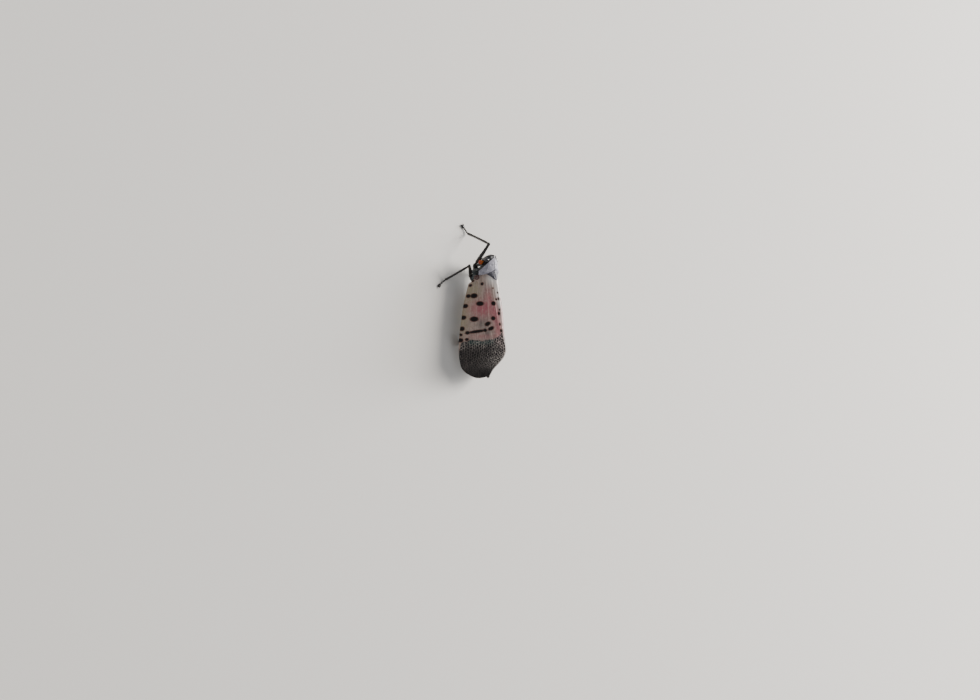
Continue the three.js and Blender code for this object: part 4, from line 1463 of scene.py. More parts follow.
@dataclass(frozen=True)
class CollarLine:
    """Where the collar plate lies: its edges, swept back at the sides, and its flare."""

    reach: float = math.radians(74)
    centre_height: float = 4.3
    front: float = 0.6
    front_sweep: float = 2.95
    back: float = 3.12
    back_sweep: float = 1.15
    length: float = 3.45

    def edges(self, spread: Array) -> tuple[Array, Array]:
        """Front and rear station at each place from side to side (-1 to 1).

        Args:
            spread: the place from side to side, from -1 to 1.

        Returns:
            The two stations.
        """
        apart = np.clip(np.abs(spread), 0, 1)
        return (self.front + self.front_sweep * apart ** 1.3,
                self.back + self.back_sweep * np.sin(apart * np.pi / 2))

    def radii(self, station: Array) -> tuple[Array, Array]:
        """Half width and height of the curve at each station."""
        share = (station - self.front) / self.length
        return 2.25 + 0.6 * share, 2.75 + 0.35 * share

    def tuck_under(self, points: Array, depth: float) -> Array:
        """Draws the points that the collar covers in to a depth below it.

        Args:
            points: rows of x, y and z.
            depth: how far below the plate they must be.

        Returns:
            The points in their new places.
        """
        station = stations_of(points)
        half_width, height = self.radii(station)
        across = points[:, 0] / half_width
        up = (points[:, 2] - self.centre_height) / height
        front, _ = self.edges(np.arctan2(np.abs(across), up) / self.reach)
        covered = smooth_step(front - 0.14, front + 0.1, station) * (up > 0.2)
        limit = 1 - depth / height
        shrink = 1 - covered * (1 - np.minimum(limit / np.maximum(np.hypot(across, up), 1e-6), 1))
        tucked = points.copy()
        tucked[:, 0] *= shrink
        tucked[:, 2] = self.centre_height + (points[:, 2] - self.centre_height) * shrink
        return tucked


COLLAR_LINE = CollarLine()


@dataclass(frozen=True)
class Head:
    """The head: face with keels, short crown, eyes, ocelli, antennae and beak."""

    # Each level slice of the capsule: its height, half width, and front and rear stations.
    slices: tuple[tuple[float, float, float, float], ...] = (
        (2.95, 0.42, 1.55, 2.3), (3.4, 0.75, 1.2, 2.35), (4.2, 1.05, 0.75, 2.35), (5.0, 1.25, 0.4, 2.2),
        (5.7, 1.38, 0.12, 2.0), (6.2, 1.4, 0.0, 1.75), (6.6, 1.25, 0.05, 1.5), (7.0, 0.8, 0.22, 1.3),
    )
    squareness: float = 2.3
    capsule_half_height: float = 2.03
    capsule_roundness: int = 12
    # Heights and half widths of the two sutures across the face.
    sutures: Curve = ((4.3, 0.05), (3.45, 0.04))
    suture_depth: float = 0.06
    keel_height: float = 0.07
    edge_keel_height: float = 0.09
    crown_hollow: float = 0.1
    brow: tuple[Triple, Triple] = ((0, 1.15, 4.0), (0.72, 0.5, 0.95))
    cheek: tuple[Triple, Triple] = ((0.98, 1.35, 5.3), (0.48, 0.6, 0.72))
    eye_place: Triple = (1.32, 1.15, 6.1)
    eye_radii: Triple = (0.6, 0.552, 0.6)
    eye_socket: Triple = (1.21, 1.15, 6.1)
    eye_socket_size: tuple[float, float] = (0.57, 0.09)
    ocellus_place: Triple = (1.2, 0.6, 5.42)
    ocellus_radii: Triple = (0.11, 0.1, 0.13)
    antenna_socket: Triple = (1.33, 1.42, 5.13)
    antenna_socket_size: tuple[float, float] = (0.34, 0.1)
    antenna_root: Triple = (1.15, 1.45, 5.1)
    bulb_place: Triple = (2.1, 1.6, 5.12)
    bulb_radii: Triple = (0.46, 0.46, 0.5)
    bulb_grains: int = 150
    beak_knots: tuple[Triple, ...] = (
        (0, 1.95, 2.95), (0, 2.2, 2.15), (0, 3.1, 1.55), (0, 5.4, 1.25), (0, 7.9, 1.2),
    )
    beak_radius: float = 0.34
    beak_joints: tuple[float, ...] = (1.4, 3.3)
    skin_cell: float = 0.04

    def capsule(self) -> Object:
        """The plain head capsule, lofted through its level slices.

        Returns:
            The capsule.
        """
        piece, angle, share, wall = add_tube(72, 80)
        z, half_width, front, back = np.array(self.slices).T
        height = z[0] + share * (z[-1] - z[0])
        level = [Profile(tuple(zip(z, values))).at(height) for values in (half_width, front, back)]
        end = rounded_ends(height, (z[0] + z[-1]) / 2, self.capsule_half_height,
                           self.capsule_roundness) * wall
        bend = 2 / self.squareness
        across = squarer(np.cos(angle), bend) * level[0] * end
        along = squarer(np.sin(angle), bend) * (level[2] - level[1]) / 2 * end
        move_points(piece, rows(across, (level[1] + level[2]) / 2 - along, height))
        return face_outwards(piece)

    def relief(self, piece: Object) -> None:
        """Raises the keels and sinks the sutures of the face, along the skin's normals.

        Args:
            piece: the head's skin.
        """
        points, normals = points_of(piece), normals_of(piece)
        x, station, z = np.abs(points[:, 0]), stations_of(points), points[:, 2]
        frontal = np.clip(normals[:, 1], 0, 1)
        width = np.interp(z, [s[0] for s in self.slices], [s[1] for s in self.slices])
        face = window(z, 4.5, 6.75, 0.15) * frontal
        rise = self.keel_height * bump_at(x, 0, 0.07) * face
        rise += 0.06 * bump_at(x, 0.4, 0.06) * face * window(z, 5.0, 6.6, 0.3)
        rise += self.edge_keel_height * bump_at(x - width * 0.74, 0, 0.07) * window(z, 4.3, 6.85, 0.2)
        rise -= 0.05 * bump_at(x - width * 0.55, 0, 0.2) * face
        for height, half_width in self.sutures:
            rise -= self.suture_depth * bump_at(z, height, half_width) * frontal
        rise += self.keel_height * bump_at(x, 0, 0.09) * window(z, 3.1, 4.15, 0.1) * frontal
        wrinkles = np.sin(z * 48) * window(z, 3.5, 4.2, 0.1) * window(x, 0.15, 0.9, 0.1)
        rise += 0.012 * wrinkles * frontal
        # The short crown is hollowed between two keels, with a raised rim before and behind it.
        crown = np.clip(normals[:, 2], 0, 1) * window(z, 6.5, 8, 0.2)
        rise -= self.crown_hollow * crown * bump_at(x, 0.45, 0.35) * bump_at(station, 0.85, 0.35)
        rise += self.keel_height * crown * (bump_at(station, 0.33, 0.09) + bump_at(x, 0, 0.07))
        points += normals * rise[:, None]
        move_points(piece, points)

    def socket(self, centre: Vector, direction: Vector, size: tuple[float, float]) -> Object:
        """A raised ring round an eye or an antenna.

        Args:
            centre: the ring's centre.
            direction: the way that it faces.
            size: its radius and the radius of its wall.

        Returns:
            The ring.
        """
        radius, wall = size
        clear_selection()
        bpy.ops.mesh.primitive_torus_add(major_radius=radius, minor_radius=wall, major_segments=48,
                                         minor_segments=16)
        piece = bpy.context.active_object
        turn = direction.to_track_quat("Z", "Y").to_matrix().to_4x4()
        piece.data.transform(Matrix.Translation(centre) @ turn)
        return piece

    def build(self, materials: dict[str, Material]) -> None:
        """Makes the head and everything on it.

        Args:
            materials: the materials by the part that they are for.
        """
        parts = [self.capsule(), add_ball(place(*self.brow[0]), self.brow[1])]
        for side in Side:
            s = side.value
            parts.append(self.socket(place_on(side, self.eye_socket), Vector((s, 0.12, 0.12)),
                                     self.eye_socket_size))
            parts.append(self.socket(place_on(side, self.antenna_socket), Vector((s, 0.1, 0.05)),
                                     self.antenna_socket_size))
            parts.append(add_ball(place_on(side, self.cheek[0]), self.cheek[1]))
        skin = melt_together(parts, self.skin_cell, 4)
        self.relief(skin)
        move_points(skin, COLLAR_LINE.tuck_under(points_of(skin), TUCK_DEPTH))
        settle(skin, "head_capsule", materials["head"], ["head"])
        for side in Side:
            self.eye(side, materials["eye"])
            self.ocellus(side, materials["ocellus"])
            self.antenna(side, materials["bulb"], materials["bristle"])
        self.beak(materials["body"])

    def eye(self, side: Side, material: Material) -> None:
        """The compound eye, a slightly flattened dome."""
        dome = add_ball(place_on(side, self.eye_place), self.eye_radii, 72)
        settle(dome, f"compound_eye_{side.word}", material, [f"eye_{side.word}"])

    def ocellus(self, side: Side, material: Material) -> None:
        """The small clear eye between the compound eye and the antenna."""
        dome = add_ball(place_on(side, self.ocellus_place), self.ocellus_radii, 20)
        settle(dome, f"ocellus_{side.word}", material, [])

    def antenna(self, side: Side, bulb_material: Material,
                bristle_material: Material) -> None:
        """A short stalk and a swollen, grained bulb, and a fine bristle that ends in a point.

        Args:
            side: the side that it is on.
            bulb_material: the material of stalk and bulb.
            bristle_material: the material of the bristle.
        """
        root, bulb = place_on(side, self.antenna_root), place_on(side, self.bulb_place)
        stalk_outline = ((0, 0.3), (0.3, 0.27), (0.4, 0.2), (0.48, 0.2), ((bulb - root).length, 0.3))
        stalk = add_rod(root, bulb, stalk_outline, 28, 24)
        body = melt_together([stalk, add_ball(bulb, self.bulb_radii)], 0.035, 3)
        points, normals = points_of(body), normals_of(body)
        grains = np.random.default_rng(SEED + side.value).normal(size=(self.bulb_grains, 3))
        grains /= np.linalg.norm(grains, axis=1, keepdims=True)
        outward = points - np.array(bulb)
        far = np.linalg.norm(outward, axis=1)
        nearest = np.max((outward / far[:, None]) @ grains.T, axis=1)
        on_bulb = smooth_step(0.36, 0.42, far)
        points += normals * (0.035 * np.exp(-((1 - nearest) / 0.006)) * on_bulb)[:, None]
        move_points(body, points)
        settle(body, f"antenna_bulb_{side.word}", bulb_material, [f"antenna_{side.word}"])
        lie = Vector((side.value * 0.8, 0.35, -0.5)) * 1.5
        bristle_outline = ((0.3, 0.12), (0.46, 0.13), (0.56, 0.07), (0.7, 0.045), (lie.length, 0.012))
        bristle = add_rod(bulb, bulb + lie, bristle_outline, 12, 30, bow=0.06)
        settle(bristle, f"antenna_bristle_{side.word}", bristle_material,
               [f"antenna_{side.word}"])

    def beak(self, material: Material) -> None:
        """The jointed beak, which lies back between the legs.

        Args:
            material: its material.
        """
        piece, angle, share, wall = add_tube(28, 110)
        knots = np.array([list(place(*knot)) for knot in self.beak_knots])
        steps = np.concatenate([[0], np.cumsum(np.linalg.norm(np.diff(knots, axis=0), axis=1))])
        curves = [Profile(tuple(zip(steps, knots[:, axis]))) for axis in range(3)]
        distance = share * steps[-1]
        middle = np.stack([curve.at(distance) for curve in curves], 1)
        ahead = np.stack([curve.at(distance + 0.02) for curve in curves], 1)
        lie = ahead - middle
        lie /= np.linalg.norm(lie, axis=1, keepdims=True)
        aside = np.tile([1.0, 0, 0], (len(lie), 1))
        above = np.cross(lie, aside)
        radius = self.beak_radius - 0.1 * share
        for joint in self.beak_joints:
            radius -= 0.05 * bump_at(distance, joint, 0.09)
            radius += 0.02 * bump_at(distance, joint - 0.2, 0.14)
        radius = radius * (1 - 0.35 * smooth_step(0.96, 1, share)) * wall
        groove = 1 - 0.25 * bump_at(np.abs(angle), np.pi / 2, 0.25) * (np.sin(angle) > 0)
        points = (middle + aside * (radius * np.cos(angle))[:, None]
                  + above * (radius * groove * np.sin(angle))[:, None])
        move_points(piece, points)
        settle(face_outwards(piece), "jointed_beak", material, ["rostrum"])


# Plates and trunk


@dataclass(frozen=True)
class Collar:
    """The collar plate over the front of the thorax, with its middle keel and two pits."""

    thickness: float = 0.24
    keel_height: float = 0.08
    side_keel_height: float = 0.06
    pit_place: tuple[float, float] = (0.62, 2.2)
    pit_radius: float = 0.16
    pit_depth: float = 0.11
    droop: float = 0.24

    def build(self, material: Material) -> None:
        """A grid bent round the thorax, given its relief and thickness.

        Args:
            material: its material.
        """
        piece, spread, share = add_sheet(170, 54)
        spread = spread * 2 - 1
        angle = spread * COLLAR_LINE.reach
        front, back = COLLAR_LINE.edges(spread)
        station = front + (back - front) * share
        x = spread * 2.6
        rise = self.keel_height * bump_at(x, 0, 0.07) * window(share, 0.06, 0.94, 0.05)
        rise += 0.05 * bump_at(share, 0.03, 0.05) + 0.06 * bump_at(share, 0.96, 0.05)
        for side in Side:
            apart = np.hypot(x - side.value * self.pit_place[0], station - self.pit_place[1])
            rise -= self.pit_depth * bump_at(apart, 0, self.pit_radius)
            keel = x - side.value * (1.05 + 0.5 * share)
            rise += self.side_keel_height * bump_at(keel, 0, 0.08) * window(share, 0.12, 0.85, 0.1)
            rise -= 0.06 * bump_at(keel, side.value * 0.4, 0.3) * window(share, 0.2, 0.8, 0.15)
        rise += 0.012 * np.sin(station * 23 + 2 * np.abs(x)) * window(share, 0.15, 0.85, 0.1)
        half_width, height = COLLAR_LINE.radii(station)
        lift = rise - self.droop * smooth_step(0.84, 1, share)
        move_points(piece, rows((half_width + lift) * np.sin(angle), station,
                                COLLAR_LINE.centre_height + (height + lift) * np.cos(angle)))
        thicken(piece, self.thickness)
        settle(piece, "collar_plate", material, ["pronotum"], crease=60)


@dataclass(frozen=True)
class BackPlate:
    """The dark triangular plate between the wing bases, with three keels."""

    thickness: float = 0.3
    keel_height: float = 0.06
    front: float = 2.95
    front_sweep: float = 0.85
    crest_radius: float = 0.4
    slope: float = 0.47
    under_collar: float = 0.2
    tail_drop: float = 0.3
    below_wing: float = 0.14

    def build(self, material: Material) -> None:
        """A grid that narrows to the rear and follows the roof, with sides that dip below the wings.

        Args:
            material: its material.
        """
        piece, spread, share = add_sheet(120, 90)
        spread = spread * 2 - 1
        front = self.front + self.front_sweep * np.abs(spread) ** 1.3
        station = front + (BACK_PLATE_EDGE.tip + 0.1 - front) * share
        x = (BACK_PLATE_EDGE.half_width(station) + 0.22) * spread
        rise = self.keel_height * bump_at(x, 0, 0.06) * window(share, 0.12, 0.9, 0.06)
        for side in Side:
            keel = x - side.value * (0.95 - 0.75 * share)
            rise += self.keel_height * bump_at(keel, 0, 0.06) * window(share, 0.15, 0.8, 0.08)
        rise -= 0.08 * bump_at(share, 0.78, 0.12) * bump_at(x, 0, 0.35)
        rise += 0.008 * np.sin(station * 26) * np.cos(x * 9)
        dip = self.under_collar * (1 - smooth_step(0.0, 0.16, share))
        tail_fall = self.tail_drop * smooth_step(0.9, 1, share)
        crest = self.slope * (np.sqrt(x ** 2 + self.crest_radius ** 2) - self.crest_radius)
        height = RIDGE_HEIGHT.at(station) + 0.04 - crest + rise - dip - tail_fall
        roof = Roof()
        wing_height = roof.points(station, roof.across_at(station, np.abs(x)))[:, 2]
        outer = smooth_step(0.6, 0.9, np.abs(spread))
        height += (np.minimum(wing_height - self.below_wing - tail_fall, height) - height) * outer
        move_points(piece, rows(x, station, height))
        thicken(piece, self.thickness)
        settle(piece, "back_plate", material, ["scutellum"], crease=60)


@dataclass(frozen=True)
class Trunk:
    """Thorax, wing hinges and their scales, and the abdomen."""

    # Each section of the thorax: its station, half width, and lowest and highest points.
    sections: tuple[tuple[float, float, float, float], ...] = (
        (2.3, 1.1, 3.3, 5.6), (3.0, 1.6, 2.6, 6.5), (3.9, 2.1, 2.2, 6.85), (5.0, 2.45, 2.1, 7.05),
        (6.2, 2.55, 2.1, 7.0), (7.4, 2.45, 2.1, 6.5), (8.7, 2.15, 2.1, 5.7),
    )
    # Each lobe's place on the right and its radii: wing root, side plates and the three leg roots.
    lobes: tuple[tuple[Triple, Triple], ...] = (
        ((1.95, 5.9, 4.9), (1.0, 0.85, 0.9)), ((1.95, 3.5, 3.9), (0.62, 0.72, 1.35)),
        ((2.1, 4.95, 3.7), (0.75, 0.8, 1.4)), ((2.0, 6.7, 3.5), (0.75, 0.75, 1.25)),
        ((0.95, 3.5, 2.75), (0.6, 0.55, 0.62)), ((1.2, 5.0, 2.7), (0.65, 0.6, 0.65)),
        ((1.1, 6.8, 2.5), (0.7, 0.65, 0.6)),
    )
    neck: tuple[Triple, Triple] = ((0, 2.3, 4.6), (1.0, 0.9, 1.3))
    grooves: tuple[float, ...] = (4.25, 5.8, 7.5)
    groove_depth: float = 0.09
    thorax_squareness: float = 0.87
    thorax_half_length: float = 3.22
    thorax_roundness: int = 14
    scale_place: Triple = (2.86, 4.72, 4.72)
    scale_radii: Triple = (0.3, 0.5, 0.62)
    abdomen_ends: tuple[float, float] = (8.3, 19.6)
    first_ring: float = 8.8
    abdomen_squareness: float = 0.93
    abdomen_width: Profile = Profile(((8.3, 1.95), (11, 2.5), (14, 2.5), (17, 1.95), (19.7, 0.8)))
    abdomen_low: Profile = Profile(((8.3, 1.75), (11, 1.25), (14, 1.2), (17, 1.6), (19.7, 2.5)))
    abdomen_high: Profile = Profile(((8.3, 5.35), (11, 5.35), (14, 5.2), (17, 4.6), (19.7, 3.7)))
    rings: int = 6

    def thorax(self, material: Material) -> None:
        """The trunk with its side plates, melted into one skin and then grooved.

        Args:
            material: its material.
        """
        piece, angle, share, wall = add_tube(64, 60)
        table = np.array(self.sections)
        station = table[0, 0] + share * (table[-1, 0] - table[0, 0])
        level = [Profile(tuple(zip(table[:, 0], table[:, k]))).at(station) for k in (1, 2, 3)]
        end = rounded_ends(station, (table[0, 0] + table[-1, 0]) / 2,
                           self.thorax_half_length, self.thorax_roundness) * wall
        power = self.thorax_squareness
        x = level[0] * squarer(np.cos(angle), power) * end
        middle, half_height = (level[1] + level[2]) / 2, (level[2] - level[1]) / 2
        z = middle + half_height * squarer(np.sin(angle), power) * end
        move_points(piece, rows(x, station, z))
        parts = [face_outwards(piece)]
        for side in Side:
            parts.extend(add_ball(place_on(side, spot), radii) for spot, radii in self.lobes)
        parts.append(add_ball(place(*self.neck[0]), self.neck[1]))
        skin = melt_together(parts, 0.06, 6)
        points, normals = points_of(skin), normals_of(skin)
        behind, height = stations_of(points), points[:, 2]
        rise = np.zeros(len(points))
        for start in self.grooves:
            rise -= self.groove_depth * bump_at(behind, start + 0.22 * (height - 4), 0.07)
        side_line = bump_at(height, 4.4 + 0.15 * np.sin(behind * 3), 0.06)
        rise -= 0.06 * side_line * (np.abs(points[:, 0]) > 1)
        points += normals * rise[:, None]
        move_points(skin, Roof().tuck_under(points, TUCK_DEPTH, 3.7))
        settle(skin, "thorax_shell", material, ["thorax"])

    def scales(self, material: Material) -> None:
        """The small brown scale over each wing hinge.

        Args:
            material: its material.
        """
        for side in Side:
            scale = add_ball(place_on(side, self.scale_place), self.scale_radii)
            points = points_of(scale)
            points[:, 0] -= side.value * 0.25 * (points[:, 2] - self.scale_place[2])
            move_points(scale, points)
            settle(scale, f"hinge_scale_{side.word}", material, [f"tegula_{side.word}"])

    def abdomen(self, material: Material) -> None:
        """Overlapping rings, each with a raised rear edge, and a rounded tail.

        Args:
            material: its material.
        """
        piece, angle, share, wall = add_tube(64, 168)
        first, last = self.abdomen_ends
        station = first + share * (last - first)
        length = (last - self.first_ring) / self.rings
        within = np.mod(station - self.first_ring, length) / length
        step = 0.13 * (1 - smooth_step(0.0, 0.3, within)) - 0.05 * window(within, 0.75, 0.97, 0.08)
        inset = np.where(station < self.first_ring, 0.12, step)
        tail = np.sqrt(np.clip(1 - smooth_step(18.2, last, station) ** 3, 0, 1))
        low, high = self.abdomen_low.at(station), self.abdomen_high.at(station)
        half_width = np.maximum(self.abdomen_width.at(station) - inset, 0.1) * tail * wall
        half_height = np.maximum((high - low) / 2 - inset, 0.1) * tail * wall
        fold = 1 - 0.06 * bump_at(np.abs(np.sin(angle)), 0.25, 0.1)
        x = half_width * fold * squarer(np.cos(angle), self.abdomen_squareness)
        z = (low + high) / 2 + half_height * fold * squarer(np.sin(angle), self.abdomen_squareness)
        move_points(piece, rows(x, station, z))
        top = smooth_step(-0.35, 0.3, np.sin(angle))
        belly = smooth_step(0.5, 0.9, -np.sin(angle))
        band = window(within, 0.12, 0.55, 0.12) * np.clip(top + 0.85 * belly, 0, 1)
        float_attribute(piece, "band", band * (station > self.first_ring))
        settle(face_outwards(piece), "ringed_abdomen", material, ["abdomen"], crease=60)


# Legs


@dataclass(frozen=True)
class Leg:
    """One leg: its joints from root to toe, with spines on the shin where it has them."""

    name: str
    joints: tuple[Triple, ...]
    spined: bool = False
    coxa_radius: float = 0.6
    femur_radius: float = 0.38
    knee_radius: float = 0.33
    tibia_radius: float = 0.25
    ankle_radius: float = 0.27
    skin_cell: float = 0.045
    thorn_size: tuple[float, float] = (0.74, 0.13)
    crown_size: tuple[float, float] = (0.36, 0.065)
    # Fine bristles on femur, tibia and foot: how far out they stand, and how many there are.
    hair_rows: tuple[tuple[float, int], ...] = ((0.31, 46), (0.2, 90), (0.14, 26))
    hair_radius: float = 0.014
    pad_radii: Triple = (0.33, 0.55, 0.3)

    def corners(self) -> list[Vector]:
        """The joints as points."""
        return [place(*joint) for joint in self.joints]

    def skin(self) -> Object:
        """Coxa, trochanter, femur, tibia and foot joints as one continuous skin.

        Returns:
            The skin.
        """
        root, hip, knee, ankle, toe = self.corners()
        reach, thigh, shin = (hip - root).length, (knee - hip).length, (ankle - knee).length
        parts = [
            add_rod(root, hip, ((-0.3, 0.42), (0, 0.52), (reach * 0.35, self.coxa_radius),
                                (reach * 0.8, 0.5), (reach + 0.12, 0.34))),
            add_ball(hip, (0.36, 0.36, 0.36), 28),
            add_rod(hip, knee, ((0.1, 0.24), (0.42, 0.27), (0.52, 0.24), (0.72, 0.31),
                                (thigh * 0.28, 0.39), (thigh * 0.5, self.femur_radius),
                                (thigh * 0.8, 0.31), (thigh - 0.3, 0.29), (thigh, self.knee_radius),
                                (thigh + 0.14, 0.27)),
                    ridges=3, ridge_height=0.09, bow=0.1),
            add_ball(knee, (0.3, 0.3, 0.3), 28),
            add_rod(knee, ankle, ((0.05, 0.22), (0.36, 0.24), (0.55, 0.21), (0.9, self.tibia_radius),
                                  (shin * 0.6, 0.235), (shin - 0.5, 0.24),
                                  (shin - 0.12, self.ankle_radius), (shin + 0.06, 0.2)),
                    ridges=4, ridge_height=0.1, bow=0.05),
        ]
        lie, _ = self.foot_lines()
        span = Vector((toe.x - ankle.x, toe.y - ankle.y, 0)).length
        stops = ((0.02, 0.44), (span * 0.34, 0.33), (span * 0.6, 0.27), (span - 0.12, 0.22))
        for k, ((start, start_z), (end, end_z)) in enumerate(zip(stops, stops[1:])):
            first = Vector((ankle.x, ankle.y, start_z)) + lie * start
            second = Vector((ankle.x, ankle.y, end_z)) + lie * end
            length = (second - first).length
            thick = 0.2 - 0.012 * k
            parts.append(add_rod(first, second, ((0, thick * 0.7), (length * 0.3, thick * 0.86),
                                                 (length * 0.85, thick), (length + 0.06, thick * 0.7)),
                                 20, 18))
        return melt_together(parts, self.skin_cell, 3)

    def foot_lines(self) -> tuple[Vector, Vector]:
        """The level directions along the foot and to its side.

        Returns:
            The two directions.
        """
        ankle, toe = self.corners()[3:]
        lie = Vector((toe.x - ankle.x, toe.y - ankle.y, 0)).normalized()
        return lie, Vector((-lie.y, lie.x, 0))

    def foot_end(self) -> list[Object]:
        """The pad that the foot stands on, and its two hooked claws.

        Returns:
            The pad and the claws.
        """
        toe = self.corners()[4]
        lie, aside = self.foot_lines()
        turn = Vector((0, 1, 0)).rotation_difference(lie).to_matrix().to_4x4()
        pad = add_ball(Vector((0, 0, 0)), self.pad_radii, 32)
        pad.data.transform(Matrix.Translation(Vector((toe.x, toe.y, 0.2)) - lie * 0.28) @ turn)
        points = points_of(pad)
        points[:, 2] = np.maximum(points[:, 2], 0.0)
        move_points(pad, points)
        pieces = [pad]
        for s in (-1, 1):
            piece, angle, share, wall = add_tube(10, 14)
            bend = share * 1.5
            forward = -0.3 + 0.62 * np.sin(bend)
            height = 0.33 + 0.12 * np.sin(share * np.pi) - 0.26 * share ** 2
            out = s * (0.1 + 0.26 * share)
            radius = (0.085 * (1 - share) + 0.012) * wall
            middle = (np.array([toe.x, toe.y, 0.0]) + np.outer(forward, np.array(lie))
                      + np.outer(out, np.array(aside)) + np.outer(height, [0, 0, 1]))
            move_points(piece, (middle + np.outer(radius * np.cos(angle), np.array(aside))
                                + np.outer(radius * np.sin(angle), [0, 0, 1])))
            pieces.append(face_outwards(piece))
        return pieces

    def thorn_places(self) -> list[Matrix]:
        """Where the large spines stand: along the outside of the shin and round its end.

        Returns:
            A transform for each spine.
        """
        _, _, knee, ankle, _ = self.corners()
        lie = (ankle - knee).normalized()
        shin = (ankle - knee).length
        outward = Vector((math.copysign(1, knee.x), 0, 0.25)).normalized()
        places = []
        if self.spined:
            for k in range(5):
                root = knee + lie * (1.5 + (shin - 1.85) * k / 4)
                lean = (outward * 0.55 + lie * 0.45).normalized()
                places.append(self.standing(root + outward * 0.08, lean, *self.thorn_size))
        crown = 7 if self.spined else 5
        aside, above = side_lines(lie)
        for k in range(crown):
            angle = math.pi * (0.1 + 0.8 * k / (crown - 1)) + math.pi
            around = aside * math.cos(angle) + above * math.sin(angle)
            root = ankle - lie * 0.16 + around * 0.12
            lean = (lie * 0.75 + around * 0.6).normalized()
            places.append(self.standing(root, lean, *self.crown_size))
        return places

    def hair_places(self) -> list[Matrix]:
        """Where the fine bristles stand: in rows along femur, tibia and foot.

        Returns:
            A transform for each bristle.
        """
        rng = random.Random(f"{SEED}{self.name}")
        _, hip, knee, ankle, toe = self.corners()
        places = []
        spans = ((hip, knee), (knee, ankle), (ankle, toe))
        for (start, end), (out, count) in zip(spans, self.hair_rows):
            lie = (end - start).normalized()
            aside, above = side_lines(lie)
            for k in range(count):
                share = 0.12 + 0.84 * (k + rng.random() * 0.7) / count
                angle = (k % 5) * math.tau / 5 + rng.uniform(-0.35, 0.35)
                around = aside * math.cos(angle) + above * math.sin(angle)
                root = start + (end - start) * share + around * out
                if end == toe:
                    root.z = max(root.z, 0.3)
                    around.z = abs(around.z)
                lean = (around * 0.7 + lie * 0.75).normalized()
                places.append(self.standing(root, lean, rng.uniform(0.13, 0.2), self.hair_radius))
        return places

    def standing(self, root: Vector, lean: Vector, length: float, radius: float) -> Matrix:
        """The transform that stands a unit cone on a root, leaning along a direction."""
        turn = lean.to_track_quat("Z", "Y").to_matrix().to_4x4()
        return Matrix.Translation(root) @ turn @ Matrix.Diagonal((radius, radius, length, 1))

    def thorn(self, sides: int) -> Object:
        """A cone of unit size that stands on its base and ends in a small tip.

        Args:
            sides: faces around it.

        Returns:
            The cone.
        """
        clear_selection()
        bpy.ops.mesh.primitive_cone_add(vertices=sides, radius1=1, radius2=0.12, depth=1,
                                        location=(0, 0, 0.5))
        cone = bpy.context.active_object
        bpy.ops.object.transform_apply(location=True)
        return cone

    def build(self, material: Material) -> None:
        """Makes the leg as one piece.

        Args:
            material: its material.
        """
        skin = self.skin()
        thorns = copies_of(self.thorn(10), self.thorn_places())
        hairs = copies_of(self.thorn(4), self.hair_places())
        leg = join([skin, *self.foot_end(), thorns, hairs])
        points = points_of(leg)
        points[:, 2] = np.maximum(points[:, 2], 0.0)
        move_points(leg, points)
        nodes = [f"{segment}_{self.name}" for segment in ("coxa", "femur", "tibia", "tarsus")]
        settle(leg, f"leg_{self.name}", material, nodes)


LEGS = (
    Leg("fore_left", (
        (-1.0, 3.4, 3.0), (-2.0, 2.1, 3.4), (-1.15, -2.2, 6.65), (-0.85, -4.5, 0.5), (-2.3, -6.2, 0),
    )),
    Leg("fore_right", (
        (1.0, 3.1, 3.0), (1.9, 3.5, 1.5), (5.3, 1.6, 1.7), (7.6, 6.6, 0.5), (8.0, 8.5, 0),
    )),
    Leg("middle_left", (
        (-1.3, 5.0, 2.9), (-2.6, 4.3, 2.7), (-5.5, 2.4, 5.1), (-7.7, 5.2, 0.5), (-9.5, 6.6, 0),
    )),
    Leg("middle_right", (
        (1.3, 5.0, 2.9), (2.6, 4.8, 2.5), (5.3, 7.5, 2.0), (8.4, 10.6, 0.5), (9.3, 12.4, 0),
    )),
    Leg("hind_left", (
        (-1.1, 6.8, 2.6), (-2.0, 7.4, 1.95), (-3.2, 10.9, 1.75), (-2.9, 16.4, 0.5), (-3.0, 18.5, 0),
    ), spined=True),
    Leg("hind_right", (
        (1.1, 6.8, 2.6), (2.0, 7.4, 1.95), (3.9, 10.6, 1.75), (4.2, 16.1, 0.5), (4.7, 18.1, 0),
    ), spined=True),
)


# Studio


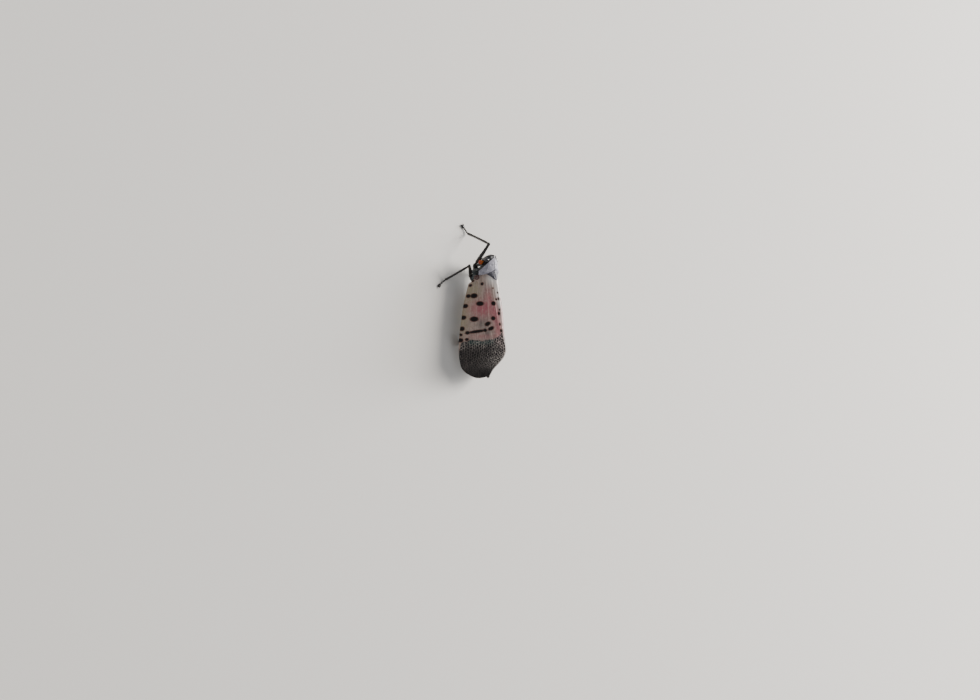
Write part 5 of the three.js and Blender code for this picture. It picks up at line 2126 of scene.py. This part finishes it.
@dataclass(frozen=True)
class Studio:
    """Floor, lights and the camera on the insect's left, above it."""

    tilt: float = math.radians(48)
    distance: float = 567.0
    lens: float = 100.0
    target: Triple = (0.985, 19.79, 5.0)
    floor_radius: float = 4.0
    lamp_aim: Triple = (0, 0, 0.005)
    room_colour: str = "#e6e8ec"
    room_strength: float = 0.4

    def floor(self, material: Material) -> None:
        """A wide round floor.

        Args:
            material: its material.
        """
        clear_selection()
        bpy.ops.mesh.primitive_circle_add(vertices=96, radius=self.floor_radius, fill_type="NGON")
        floor = bpy.context.active_object
        floor.name = "studio_floor"
        floor.data.materials.append(material)

    def lamp(self, name: str, spot: Triple, size: float, power: float,
             colour: str = "#ffffff") -> None:
        """A square soft light at a spot, aimed at the insect.

        Args:
            name: the lamp's name.
            spot: its place, in metres.
            size: its width, in metres.
            power: its power, in watts.
            colour: its colour.
        """
        clear_selection()
        bpy.ops.object.light_add(type="AREA", location=spot)
        lamp = bpy.context.active_object
        lamp.name = name
        lamp.data.size = size
        lamp.data.energy = power
        lamp.data.color = srgb(colour)[:3]
        lamp.rotation_mode = "QUATERNION"
        lamp.rotation_quaternion = (Vector(self.lamp_aim) - Vector(spot)).to_track_quat("-Z", "Y")

    def lights(self) -> None:
        """A large key light on the right, a low one to rim the far side, a weak fill, a pale room."""
        self.lamp("key_light", (0.72, 0.3, 0.62), size=0.45, power=17.0, colour="#fffaf4")
        self.lamp("rim_light", (0.75, 0.12, 0.2), size=0.3, power=8.5)
        self.lamp("fill_light", (-0.8, 0.2, 0.6), size=0.9, power=0.8, colour="#f2f6ff")
        self.lamp("rear_light", (0.1, -0.9, 0.5), size=0.6, power=1.6)
        world = bpy.data.worlds.new("pale_room")
        bpy.context.scene.world = world
        world.use_nodes = True
        background = world.node_tree.nodes["Background"]
        background.inputs["Color"].default_value = srgb(self.room_colour)
        background.inputs["Strength"].default_value = self.room_strength

    def camera(self) -> None:
        """The camera: the middle of its picture is behind the head, and ahead is up."""
        aim = (place(*self.target) + SHIFT) * MM
        back = Vector((-math.sin(self.tilt), 0, math.cos(self.tilt)))
        up = Vector((0, 1, 0))
        right = up.cross(back)
        data = bpy.data.cameras.new("photo_camera")
        data.sensor_width = 36
        data.lens = self.lens
        data.clip_start = 0.01
        data.clip_end = 20
        camera = bpy.data.objects.new("photo_camera", data)
        bpy.context.scene.collection.objects.link(camera)
        turn = Matrix((right, up, back)).transposed().to_4x4()
        camera.matrix_world = Matrix.Translation(aim + back * self.distance * MM) @ turn
        bpy.context.scene.camera = camera


def main() -> None:
    """Builds the insect piece by piece, and the studio round it."""
    logging.basicConfig(level=logging.INFO, format="%(name)s: %(message)s")
    studio = Studio()
    studio.floor(FloorBoard("pale_painted_board").make())
    studio.lights()
    studio.camera()
    forewing = ForewingMembrane("spotted_forewing_membrane").make()
    hindwing = HindwingMembrane("red_hindwing_membrane").make()
    body = BODY_CUTICLE.make()
    collar = COLLAR_CUTICLE.make()
    leg = LEG_CUTICLE.make()
    for side in Side:
        Forewings().build(side, forewing)
        Hindwings().build(side, hindwing)
    Head().build({
        "head": HEAD_CUTICLE.make(), "eye": CompoundEye("faceted_eye").make(),
        "ocellus": OCELLUS_CUTICLE.make(), "bulb": SensoryBulb("grained_antenna_bulb").make(),
        "bristle": BRISTLE_CUTICLE.make(), "body": body,
    })
    Collar().build(collar)
    BackPlate().build(SCUTELLUM_CUTICLE.make())
    trunk = Trunk()
    trunk.thorax(body)
    trunk.scales(SCALE_CUTICLE.make())
    trunk.abdomen(BandedCuticle("banded_abdomen_cuticle").make())
    for one in LEGS:
        one.build(leg)
    clear_selection()


if __name__ == "__main__":
    main()
